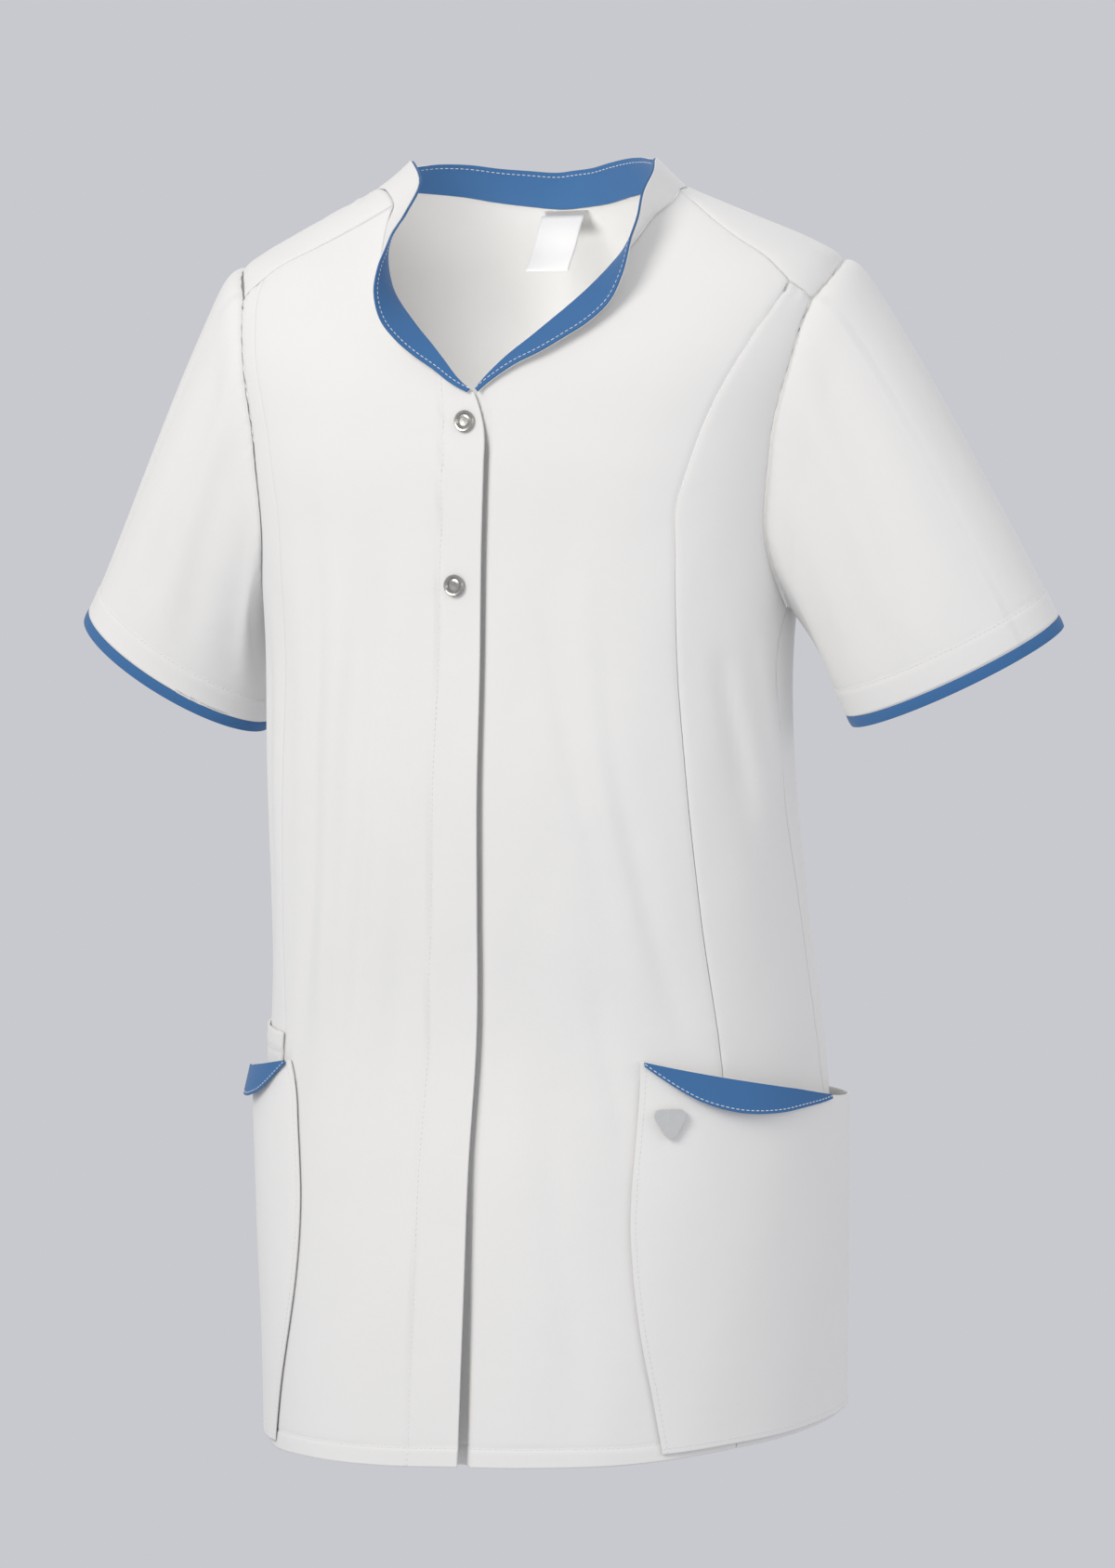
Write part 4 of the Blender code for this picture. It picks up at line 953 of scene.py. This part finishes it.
def stitches(name, lines, looks, pitch=STITCH_PITCH, length=STITCH_LENGTH, radius=STITCH_RADIUS):
    """Topstitching along lines, each an array of points and one of outward directions, as one piece of thread."""
    ring = np.linspace(0.0, 2 * math.pi, STITCH_SIDES, endpoint=False)
    profile = ((-0.5, 0.0), (-0.32, 1.0), (0.32, 1.0), (0.5, 0.0))
    vertices = []
    faces = []
    for points, outward in lines:
        lengths = running_length(points)
        count = int(lengths[-1] / pitch)
        for at in (np.arange(count) + 0.5) * lengths[-1] / count:
            centre = np.array([np.interp(at, lengths, points[:, k]) for k in range(3)])
            before = np.array([np.interp(at - length / 2, lengths, points[:, k]) for k in range(3)])
            after = np.array([np.interp(at + length / 2, lengths, points[:, k]) for k in range(3)])
            out = unit(np.array([np.interp(at, lengths, outward[:, k]) for k in range(3)]))
            along = unit(after - before)
            side = unit(np.cross(along, out))
            base = len(vertices)
            vertices.append(centre + along * profile[0][0] * length)
            for reach, share in profile[1:3]:
                for turn in ring:
                    across = side * math.cos(turn) + out * math.sin(turn)
                    vertices.append(centre + along * reach * length + across * radius * share)
            vertices.append(centre + along * profile[3][0] * length)
            last = base + 2 * STITCH_SIDES + 1
            for k in range(STITCH_SIDES):
                after_k = (k + 1) % STITCH_SIDES
                near, near_after = base + 1 + k, base + 1 + after_k
                faces.append((base, near_after, near))
                faces.append((near, near_after, near_after + STITCH_SIDES, near + STITCH_SIDES))
                faces.append((last, near + STITCH_SIDES, near_after + STITCH_SIDES))
    mesh = bpy.data.meshes.new(name)
    mesh.from_pydata([tuple(v) for v in vertices], [], faces)
    mesh.shade_smooth()
    made = bpy.data.objects.new(name, mesh)
    made.data.materials.append(looks)
    bpy.context.scene.collection.objects.link(made)
    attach(made, "root")
    return made


def grid_normals(points, closed=False):
    """Unit normals of a grid of points."""
    if closed:
        along = np.roll(points, -1, axis=1) - np.roll(points, 1, axis=1)
    else:
        along = np.gradient(points, axis=1)
    return unit(np.cross(along, np.gradient(points, axis=0)))


# ---- Materials ----

TWILL_PITCH = 0.00062
TWILL_DEG = 58.0
WAVE_PERIOD = 0.314159  # the bands texture repeats once in this length over its scale
RIBS = {"Scale": WAVE_PERIOD / TWILL_PITCH, "Distortion": 1.2, "Detail": 2.0, "Detail Scale": 0.6}
TWILL_GLOSS = {"Specular IOR Level": 0.22, "Sheen Roughness": 0.45}
THREAD_GLOSS = {"Roughness": 0.55, "Sheen Weight": 0.2}
THREAD_SHADE = 0.9
BRUSH_STRETCH = (1.0, 1.0, 9.0)
BRUSH_SMOOTHER = 0.07
BRUSH_ROUGHER = 0.09
FLOOR_GLOSS = {"Roughness": 0.9}

# Uneven tones and relief of the surfaces, each by its sockets' names
Grain = namedtuple("Grain", "Scale Detail Roughness")
YARNS = Grain(1400.0, 2.0, 0.5)
TONES = Grain(9.0, 4.0, 0.5)
WAVES = Grain(38.0, 3.0, 0.45)
FIBRES = Grain(2600.0, 2.0, 0.5)
BRUSHING = Grain(900.0, 3.0, 0.5)
POLISH = Grain(260.0, 3.0, 0.5)
FLOOR_GRAIN = Grain(6.0, 4.0, 0.5)
Relief = namedtuple("Relief", "Strength Distance")
WAVE_RELIEF = Relief(0.30, 0.0016)
YARN_RELIEF = Relief(0.20, 0.00012)
RIB_RELIEF = Relief(0.30, 0.00014)
FIBRE_RELIEF = Relief(0.4, 0.0001)
BRUSH_RELIEF = Relief(0.10, 0.00008)


def add_node(tree, kind, **settings):
    node = tree.nodes.new(kind)
    for name, value in settings.items():
        setattr(node, name, value)
    return node


def set_inputs(node, values):
    for name, value in values.items():
        node.inputs[name].default_value = value
    return node


def new_material(name, gloss):
    """A material with its shader's sockets set, its tree and shader, and its UV and object coordinates."""
    made = bpy.data.materials.new(name)
    made.use_nodes = True
    tree = made.node_tree
    shader = set_inputs(tree.nodes["Principled BSDF"], gloss)
    coordinates = add_node(tree, "ShaderNodeTexCoord").outputs
    return made, tree, shader, coordinates["UV"], coordinates["Object"]


def noise(tree, source, grain):
    node = set_inputs(add_node(tree, "ShaderNodeTexNoise"), grain._asdict())
    tree.links.new(source, node.inputs["Vector"])
    return node.outputs["Fac"]


def mixed(tree, share, low, high):
    """A colour between two, by a share."""
    ramp = add_node(tree, "ShaderNodeValToRGB")
    ramp.color_ramp.elements[0].color = (*low, 1.0)
    ramp.color_ramp.elements[1].color = (*high, 1.0)
    tree.links.new(share, ramp.inputs["Fac"])
    return ramp.outputs["Color"]


def bumped(tree, height, relief, below=None):
    bump = set_inputs(add_node(tree, "ShaderNodeBump"), relief._asdict())
    tree.links.new(height, bump.inputs["Height"])
    if below is not None:
        tree.links.new(below, bump.inputs["Normal"])
    return bump.outputs["Normal"]


def twill(name, low, high, weave_low, roughness, sheen):
    """A fine woven twill: diagonal ribs, slightly uneven yarns, and soft waviness of the finished cloth."""
    gloss = {"Roughness": roughness, "Sheen Weight": sheen, **TWILL_GLOSS}
    made, tree, shader, on_cloth, in_space = new_material(name, gloss)
    turned = set_inputs(add_node(tree, "ShaderNodeMapping"), {"Rotation": (0.0, 0.0, math.radians(TWILL_DEG))})
    tree.links.new(on_cloth, turned.inputs["Vector"])
    ribs = set_inputs(add_node(tree, "ShaderNodeTexWave", wave_type="BANDS", wave_profile="SIN"), RIBS)
    tree.links.new(turned.outputs["Vector"], ribs.inputs["Vector"])
    tone = mixed(tree, noise(tree, in_space, TONES), low, high)
    weave = mixed(tree, ribs.outputs["Fac"], weave_low, (1.0, 1.0, 1.0))
    blend = add_node(tree, "ShaderNodeMix", data_type="RGBA", blend_type="MULTIPLY")
    blend.inputs["Factor"].default_value = 1.0
    tree.links.new(tone, blend.inputs["A"])
    tree.links.new(weave, blend.inputs["B"])
    tree.links.new(blend.outputs["Result"], shader.inputs["Base Color"])
    normal = bumped(tree, noise(tree, in_space, WAVES), WAVE_RELIEF)
    normal = bumped(tree, noise(tree, on_cloth, YARNS), YARN_RELIEF, normal)
    normal = bumped(tree, ribs.outputs["Fac"], RIB_RELIEF, normal)
    tree.links.new(normal, shader.inputs["Normal"])
    return made


def thread(name, colour):
    """Spun sewing thread, with fine turns along each stitch."""
    made, tree, shader, _, in_space = new_material(name, THREAD_GLOSS)
    fibres = noise(tree, in_space, FIBRES)
    low = tuple(THREAD_SHADE * part for part in colour)
    tree.links.new(mixed(tree, fibres, low, colour), shader.inputs["Base Color"])
    tree.links.new(bumped(tree, fibres, FIBRE_RELIEF), shader.inputs["Normal"])
    return made


def plated(name, low, high, roughness):
    """Satin nickel plate, with fine brushing and slightly uneven polish."""
    made, tree, shader, _, in_space = new_material(name, {"Metallic": 1.0})
    stretched = set_inputs(add_node(tree, "ShaderNodeMapping"), {"Scale": BRUSH_STRETCH})
    tree.links.new(in_space, stretched.inputs["Vector"])
    brush = noise(tree, stretched.outputs["Vector"], BRUSHING)
    tree.links.new(mixed(tree, noise(tree, in_space, POLISH), low, high), shader.inputs["Base Color"])
    limits = {"To Min": roughness - BRUSH_SMOOTHER, "To Max": roughness + BRUSH_ROUGHER}
    rough = set_inputs(add_node(tree, "ShaderNodeMapRange"), limits)
    tree.links.new(brush, rough.inputs["Value"])
    tree.links.new(rough.outputs["Result"], shader.inputs["Roughness"])
    tree.links.new(bumped(tree, brush, BRUSH_RELIEF), shader.inputs["Normal"])
    return made


# ---- Panels ----


def from_edge(values, name):
    """A grid turned so that its first axis runs away from the named edge."""
    if name in ("left", "right"):
        values = values.swapaxes(0, 1)
    return values[::-1] if name in ("right", "top") else values


def inner_line(points, edge, depth, start=0.0, stop=1.0):
    """The line that runs a depth inside an edge of a grid of points, and its directions off the surface."""
    away = from_edge(edge_distance(points)[edge], edge)
    turned = from_edge(points, edge)
    normals = from_edge(grid_normals(points), edge)
    columns = range(int(start * (away.shape[1] - 1)), int(stop * (away.shape[1] - 1)) + 1)
    line = [[np.interp(depth, away[:, c], turned[:, c, k]) for k in range(3)] for c in columns]
    outward = [[np.interp(depth, away[:, c], normals[:, c, k]) for k in range(3)] for c in columns]
    return np.array(line), np.array(outward)


def overlap_out(places):
    """How far the left front lies under the right one."""
    edge_angle = table_column(FRONT_EDGE, "height", "angle", places[..., 1])
    past = (places[..., 0] - edge_angle) / OVERLAP_FADE_DEG
    share = np.clip(1.0 - past, 0.0, 1.0)
    near_neck = np.clip((-0.125 - places[..., 1]) / 0.03, 0.45, 1.0)
    near_hem = np.clip((-0.56 - places[..., 1]) / 0.18, 0.0, 1.0)
    return -(OVERLAP_DROP * near_neck + OVERLAP_HEM_DROP * near_hem) * share * share * (3 - 2 * share)


def add_panel(node, grid, out, white, folded=False):
    """A panel of the body, with its creases and turned hem. folded tells where else its cloth lies double."""
    hem = edge_distance(body_points(grid))["bottom"]
    points = body_points(grid, crease_out(grid) + fold_out(hem, HEM_DEPTH) + out)
    thick = 1.0 * ((hem < HEM_DEPTH) | folded)
    cloth(f"panel_{node}", points, white, [node], thick, away_from=body_middle)
    return points


def add_panels(white, white_thread):
    lines = []
    for side, name in SIDES:
        lapped = side > 0
        breaks = (UNDERLAP_COLUMNS, UNDERLAP_COLUMNS + NECKLINE_COLUMNS) if lapped else (NECKLINE_COLUMNS,)
        gap, strength = (SEAM_INSET, 1.0) if lapped else (FAINT_GAP, FAINT_SEAM)
        grid = drawn_back(finer_grid(front_grid(side), column_breaks=breaks), FRONT_TOP_INSET, right=gap)
        plain = body_points(grid)
        out = seam_out(plain, "right", strength)
        if lapped:
            points = add_panel(f"front_{name}", grid, out + overlap_out(grid), white)
        else:
            inside = edge_distance(plain)["left"]
            out += fold_out(inside, PLACKET_WIDTH, PLACKET_DRAW)
            points = add_panel(f"front_{name}", grid, out, white, inside < PLACKET_WIDTH)
            lines.append(inner_line(points, "left", PLACKET_WIDTH))
        lines.append(inner_line(points, "bottom", HEM_DEPTH, UNDERLAP_HEM_SHARE if lapped else 0.0))
        grid = drawn_back(finer_grid(side_front_grid(side), row_breaks=(SIDE_SEAM_ROWS,)), left=gap)
        plain = body_points(grid)
        out = seam_out(plain, "left", strength) + seam_out(plain, "right top")
        out += armhole_out(grid, edge_distance(plain)["right"])
        points = add_panel(f"side_front_{name}", grid, out, white)
        lines.append(inner_line(points, "bottom", HEM_DEPTH))
    tip, neck = SHOULDER_TIP_COLUMNS, SHOULDER_TIP_COLUMNS + SHOULDER_COLUMNS
    whole = 2 * (neck + BACK_NECK_COLUMNS)
    grid = drawn_back(finer_grid(back_grid(), (SIDE_SEAM_ROWS,), (tip, neck, whole - neck, whole - tip)))
    plain = body_points(grid)
    distance = edge_distance(plain)
    out = seam_out(plain, "left right top")
    out += armhole_out(grid, np.minimum(distance["left"], distance["right"]))
    points = add_panel("back", grid, out, white)
    lines.append(inner_line(points, "bottom", HEM_DEPTH))
    stitches("stitching_body", lines, white_thread)


# ---- Collar ----

COLLAR_WALL = 0.0009
COLLAR_LAYER = 0.0011
COLLAR_STITCH = 0.0026
COLLAR_SHELL_REACH = 0.965
TRIM_FINER = 5


def read_finer(points):
    """A small grid of points, read more finely."""
    rows_at = positions(len(points) - 1, finer=TRIM_FINER)
    columns_at = positions(points.shape[1] - 1, finer=TRIM_FINER)
    return read_piece(read_piece(points, rows_at).swapaxes(0, 1), columns_at).swapaxes(0, 1)


def add_collar(white, blue, white_thread):
    outer = read_finer(collar_points(0.0, COLLAR_SHELL_REACH))
    facing = read_finer(collar_points(-COLLAR_LAYER))
    seen = read_finer(collar_points(-(COLLAR_LAYER + COLLAR_WALL)))
    normal = grid_normals(outer)[outer.shape[0] // 2, outer.shape[1] // 2]
    flip = bool(normal[1] < 0)
    cloth("collar_shell", outer, white, ["collar_outer"], wall=COLLAR_WALL, flip=flip)
    cloth("collar_lining", facing, blue, ["collar_facing"], wall=COLLAR_WALL, flip=flip)
    stitches("stitching_collar", [inner_line(seen, "top", COLLAR_STITCH)], white_thread)


# ---- Sleeves ----

SleeveCrease = namedtuple("SleeveCrease", "turn_start share_start turn_end share_end half_width depth")
SLEEVE_CREASES = (
    SleeveCrease(60, 0.05, 78, 0.80, 11.0, 0.0024),
    SleeveCrease(92, 0.10, 108, 0.85, 11.0, 0.0018),
    SleeveCrease(76, 0.10, 94, 0.80, 9.0, -0.0014),
    SleeveCrease(128, 0.05, 140, 0.90, 11.0, 0.0022),
    SleeveCrease(30, 0.15, 40, 0.90, 12.0, 0.0010),
    SleeveCrease(-40, 0.10, -52, 0.90, 12.0, 0.0016),
    SleeveCrease(-80, 0.05, -92, 0.85, 11.0, 0.0022),
    SleeveCrease(-118, 0.10, -124, 0.85, 11.0, 0.0018),
    SleeveCrease(-150, 0.05, -156, 0.85, 9.0, 0.0018),
    SleeveCrease(160, 0.10, 168, 0.80, 9.0, 0.0014),
)


def sleeve_out(turn_deg, share):
    """How far the sleeve's creases move its cloth, outward."""
    out = np.zeros(np.broadcast_shapes(turn_deg.shape, share.shape))
    for crease in SLEEVE_CREASES:
        down = (share - crease.share_start) / (crease.share_end - crease.share_start)
        centre = crease.turn_start + (crease.turn_end - crease.turn_start) * down
        off = (turn_deg - centre + 180.0) % 360.0 - 180.0
        out = out - crease.depth * np.exp(-((off / crease.half_width) ** 2)) * np.exp(-((2.0 * (down - 0.5)) ** 4))
    return out


# Extra rows close to the armhole and along the sleeve's hem, and rows over the blue edge, as shares of the length
SLEEVE_START_PLACES = (0.0035, 0.008, 0.014)
SLEEVE_END_PLACES = (0.012, 0.024, 0.036, 0.050, 0.060, 0.066, 0.072, 0.080, 0.092)
CUFF_PLACES = (0.0, 0.04, 0.12, 0.35, 0.65, 0.88, 0.96, 1.0)
CUFF_BULGE = 0.0003
SLEEVE_PUCKER_WIDTH = 0.009
SLEEVE_PUCKER_SHARE = 1.5


def add_sleeves(white, blue, white_thread):
    lines = []
    even = np.linspace(0.0, 1.0, SLEEVE_FINE_ROWS + 1)
    shares = np.unique(np.round([*even, *SLEEVE_START_PLACES, *(1 - np.array(SLEEVE_END_PLACES))], 4))
    for side, name in SIDES:
        rows = sleeve_point_rows(side, shares)
        count = rows.shape[1]
        loop = np.concatenate([rows, rows[:, :1]], axis=1)
        at = np.linspace(0.0, count, count * SLEEVE_FINER + 1)[:-1]
        points = read_rows(loop.swapaxes(0, 1), at, (ARMHOLE_FRONT_ROWS,)).swapaxes(0, 1)
        turns = np.degrees(np.interp(at, np.arange(count + 1), [*sleeve_turns(rows[0]), 2 * math.pi]))
        normals = grid_normals(points, closed=True)
        centre, _, _, along = sleeve_frame(side)
        if (normals[-1] * (points[-1] - centre)).sum() < 0:
            normals = -normals
        distance = edge_distance(points)
        start, end = distance["bottom"], distance["top"]
        wave = np.sin(distance["left"] * 2 * math.pi / PUCKER_PITCH + 2.0 * np.sin(distance["left"] * 43.0))
        out = sleeve_out(turns[None, :], shares[:, None])
        out = out * np.clip(start / 0.03, 0.0, 1.0) * np.clip((end - 0.002) / 0.05, 0.25, 1.0)
        top = np.clip(np.cos(np.radians(turns))[None, :] + 0.15, 0.0, 1.0)
        out = out + CAP_RISE * top * (start / CAP_RISE_AT) * np.exp(1 - start / CAP_RISE_AT)
        out = out - GROOVE_DEPTH * np.exp(-((start / GROOVE_WIDTH) ** 2))
        puckers = SLEEVE_PUCKER_SHARE * PUCKER_DEPTH * wave
        out = out + puckers * np.exp(-((start / SLEEVE_PUCKER_WIDTH) ** 2)) + fold_out(end, SLEEVE_HEM)
        points = points + normals * out[..., None]
        thick = 1.0 * (end < SLEEVE_HEM)
        looks = sleeve_middle(side)
        nodes = [f"sleeve_{name}"]
        cloth(f"sleeve_cloth_{name}", points, white, nodes, thick, closed=True, away_from=looks)
        wrapped = np.concatenate([points, points[:, :1]], axis=1)
        lines.append(inner_line(wrapped, "top", SLEEVE_HEM))
        along = unit(points[-1] - points[-4])
        edge = []
        for reach in CUFF_PLACES:
            bulge = CUFF_BULGE * math.sin(math.pi * reach)
            edge.append(points[-1] + along * (CUFF_EDGE_GAP + CUFF_EDGE_WIDTH * reach) + normals[-1] * bulge)
        edge = np.array(edge)
        nodes = [f"cuff_edge_{name}"]
        cloth(f"cuff_band_{name}", edge, blue, nodes, closed=True, away_from=looks)
    stitches("stitching_sleeves", lines, white_thread)


# ---- Pockets ----


POCKET_HEM = 0.012
POCKET_EDGE_DROP = 0.0003
POCKET_EDGE_WIDTH = 0.0016
POCKET_STITCH = 0.0032
POCKET_STITCH_DRAW = 0.0005
POCKET_STITCH_WIDTH = 0.0011
POCKET_FOOT_STITCH = 0.0035
FLAP_WALL = 0.0010
FLAP_STITCH = 0.0018
PHONE_POCKET_STITCH = 0.002
PHONE_POCKET_GRID = (31, 61)


def add_pockets(white, blue, white_thread):
    lines = []
    for side, name in SIDES:
        grid = finer_grid(pocket_grid(side), hem=False)
        up = (positions(POCKET_ROWS) / POCKET_ROWS)[:, None] + 0 * grid[..., 0]
        along = (positions(POCKET_COLUMNS) / POCKET_COLUMNS)[None] + 0 * grid[..., 0]
        base = pocket_out(along, up) + WALL
        plain = body_points(grid, base)
        distance = edge_distance(plain)
        out = base + crease_out(grid) + fold_out(distance["top"], POCKET_HEM)
        out = out - POCKET_EDGE_DROP * np.exp(-((distance["left"] / POCKET_EDGE_WIDTH) ** 2))
        from_stitches = (distance["left"] - POCKET_STITCH) / POCKET_STITCH_WIDTH
        points = body_points(grid, out - POCKET_STITCH_DRAW * np.exp(-(from_stitches**2)))
        thick = 1.0 * (distance["top"] < POCKET_HEM)
        cloth(f"pocket_bag_{name}", points, white, [f"pocket_{name}"], thick, away_from=body_middle)
        lines.append(inner_line(points, "left", POCKET_STITCH))
        lines.append(inner_line(points, "bottom", POCKET_FOOT_STITCH))
        flap = read_finer(flap_points(side))
        nodes = [f"pocket_facing_{name}"]
        cloth(f"pocket_edge_{name}", flap, blue, nodes, wall=FLAP_WALL, away_from=body_middle)
        lines.append(inner_line(flap, "top", FLAP_STITCH))
    angles = np.linspace(*PHONE_POCKET_ANGLES, PHONE_POCKET_GRID[0])
    heights = np.linspace(*PHONE_POCKET_HEIGHTS, PHONE_POCKET_GRID[1])
    grid = np.stack(np.meshgrid(angles, heights), -1)
    plain = body_points(grid, PHONE_POCKET_OUT + WALL)
    out = PHONE_POCKET_OUT + WALL + crease_out(grid) + fold_out(edge_distance(plain)["top"], POCKET_HEM)
    points = body_points(grid, out)
    cloth("phone_pocket_cloth", points, white, ["phone_pocket"], away_from=body_middle)
    lines += [inner_line(points, edge, PHONE_POCKET_STITCH) for edge in ("left", "right", "bottom")]
    lines.append(inner_line(points, "top", POCKET_HEM))
    stitches("stitching_pockets", lines, white_thread)


# ---- Label and metal ----


def add_label(satin, white_thread):
    """A plain woven label, a single layer stitched along its top inside the back neck."""
    top = body_points(np.array([LABEL_TOP.angle, LABEL_TOP.height]), -(WALL + LABEL_INSIDE))
    half = LABEL_WIDTH / 2
    lean = math.tan(math.radians(LABEL_LEAN_DEG))
    rows = []
    for share in np.linspace(0.0, 1.0, 25):
        down = share * LABEL_LENGTH
        bow = -LABEL_BOW * share - LABEL_WAVE * math.sin(LABEL_WAVE_TURN * share)
        across = np.linspace(-half, half, 21)
        rows.append([(x - down * lean, bow - LABEL_HOLLOW * (x / half) ** 2 * share, -down) for x in across])
    points = np.array(rows) + top
    flip = bool(grid_normals(points)[12, 10].dot(np.array([0.0, -1.0, 0.0])) < 0)
    cloth("label_cloth", points, satin, ["neck_label"], wall=LABEL_WALL, flip=flip)
    lines = [inner_line(points, "bottom", LABEL_STITCH)]
    stitches("stitching_label", lines, white_thread, 0.0022, 0.0016, 0.0002)


# ---- Scene ----

FLOOR_RADIUS = 2.2
FLOOR_HEIGHT = -1.52
FLOOR_SIDES = 96
FLOOR_COLOURS = ((0.60, 0.61, 0.64), (0.64, 0.65, 0.68))


def add_floor():
    """A plain pale floor, far below the hem, as under a standing wearer."""
    mesh = bpy.data.meshes.new("floor")
    turns = np.linspace(0, 2 * math.pi, FLOOR_SIDES + 1)[:-1]
    ring = [(FLOOR_RADIUS * math.cos(t), FLOOR_RADIUS * math.sin(t), FLOOR_HEIGHT) for t in turns]
    mesh.from_pydata(ring, [], [tuple(range(len(ring)))])
    floor = bpy.data.objects.new("floor", mesh)
    bpy.context.scene.collection.objects.link(floor)
    looks, tree, shader, _, in_space = new_material("floor", FLOOR_GLOSS)
    grain = noise(tree, in_space, FLOOR_GRAIN)
    tree.links.new(mixed(tree, grain, *FLOOR_COLOURS), shader.inputs["Base Color"])
    mesh.materials.append(looks)


def camera_axes():
    """The camera's place and its right, up and forward directions."""
    azimuth = math.radians(CAMERA_AZIMUTH)
    place = np.array([math.sin(azimuth) * CAMERA_DISTANCE, -math.cos(azimuth) * CAMERA_DISTANCE, CAMERA_HEIGHT])
    level = np.array([math.cos(azimuth), math.sin(azimuth), 0.0])
    forward = unit(level * CAMERA_ASIDE + np.array([0.0, 0.0, CAMERA_AIM]) - place)
    right = unit(np.cross(forward, np.array([0.0, 0.0, 1.0])))
    upward = np.cross(right, forward)
    roll = math.radians(CAMERA_ROLL)
    turned_right = right * math.cos(roll) - upward * math.sin(roll)
    turned_up = upward * math.cos(roll) + right * math.sin(roll)
    return place, turned_right, turned_up, forward


def add_camera():
    place, right, upward, forward = camera_axes()
    data = bpy.data.cameras.new("camera")
    data.lens = CAMERA_LENS
    data.sensor_width = SENSOR
    camera = bpy.data.objects.new("camera", data)
    axes = Matrix((Vector(right), Vector(upward), Vector(-forward))).transposed().to_4x4()
    camera.matrix_world = Matrix.Translation(Vector(place)) @ axes
    bpy.context.scene.collection.objects.link(camera)
    bpy.context.scene.camera = camera


def add_light(name, place, aim, size, power, colour):
    data = bpy.data.lights.new(name, "AREA")
    data.shape = "DISK"
    data.size = size
    data.energy = power
    data.color = colour
    lamp = bpy.data.objects.new(name, data)
    lamp.location = place
    lamp.rotation_euler = (Vector(aim) - Vector(place)).to_track_quat("-Z", "Y").to_euler()
    bpy.context.scene.collection.objects.link(lamp)


def add_lights():
    place, right, upward, forward = camera_axes()
    aim = np.array([0.0, 0.0, -0.34])
    level = unit(np.array([forward[0], forward[1], 0.0]))
    key = aim - 1.7 * right - 1.9 * level + np.array([0.0, 0.0, 1.5])
    add_light("key", key, aim, 1.5, 42.0, (1.0, 0.97, 0.91))
    fill = aim + 2.2 * right - 1.4 * level + np.array([0.0, 0.0, 0.5])
    add_light("fill", fill, aim, 1.8, 10.0, (1.0, 0.98, 0.95))
    add_light("inner", INNER_LIGHT, INNER_AIM, 0.05, 0.17, (1.0, 0.98, 0.96))
    rim = aim + 0.6 * right + 2.2 * level + np.array([0.0, 0.0, 1.6])
    add_light("rim", rim, aim, 1.2, 12.0, (1.0, 1.0, 1.0))
    world = bpy.data.worlds.new("world")
    world.use_nodes = True
    background = world.node_tree.nodes["Background"]
    background.inputs["Color"].default_value = (*BACKDROP, 1.0)
    background.inputs["Strength"].default_value = 1.0
    bpy.context.scene.world = world


def main():
    white = twill("white_twill_cloth", (0.825, 0.820, 0.805), (0.865, 0.860, 0.845), (0.96, 0.96, 0.96), 0.82, 0.10)
    blue = twill("blue_twill_cloth", (0.048, 0.155, 0.355), (0.064, 0.185, 0.405), (0.84, 0.86, 0.89), 0.80, 0.16)
    satin = twill("label_satin", (0.80, 0.80, 0.80), (0.84, 0.84, 0.84), (0.97, 0.97, 0.97), 0.55, 0.05)
    white_thread = thread("white_thread", (0.84, 0.84, 0.85))
    nickel = plated("nickel_plate", (0.36, 0.35, 0.33), (0.50, 0.49, 0.46), 0.26)
    bright = plated("bright_plate", (0.78, 0.78, 0.77), (0.90, 0.90, 0.88), 0.28)
    bpy.context.scene.view_settings.view_transform = "Standard"
    add_camera()
    add_panels(white, white_thread)
    add_collar(white, blue, white_thread)
    add_sleeves(white, blue, white_thread)
    add_pockets(white, blue, white_thread)
    add_label(satin, white_thread)
    for node, metal in (("snap_upper", nickel), ("snap_lower", nickel), ("pocket_badge", bright)):
        for material_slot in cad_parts[node].material_slots:
            material_slot.material = metal
    add_floor()
    add_lights()


main()
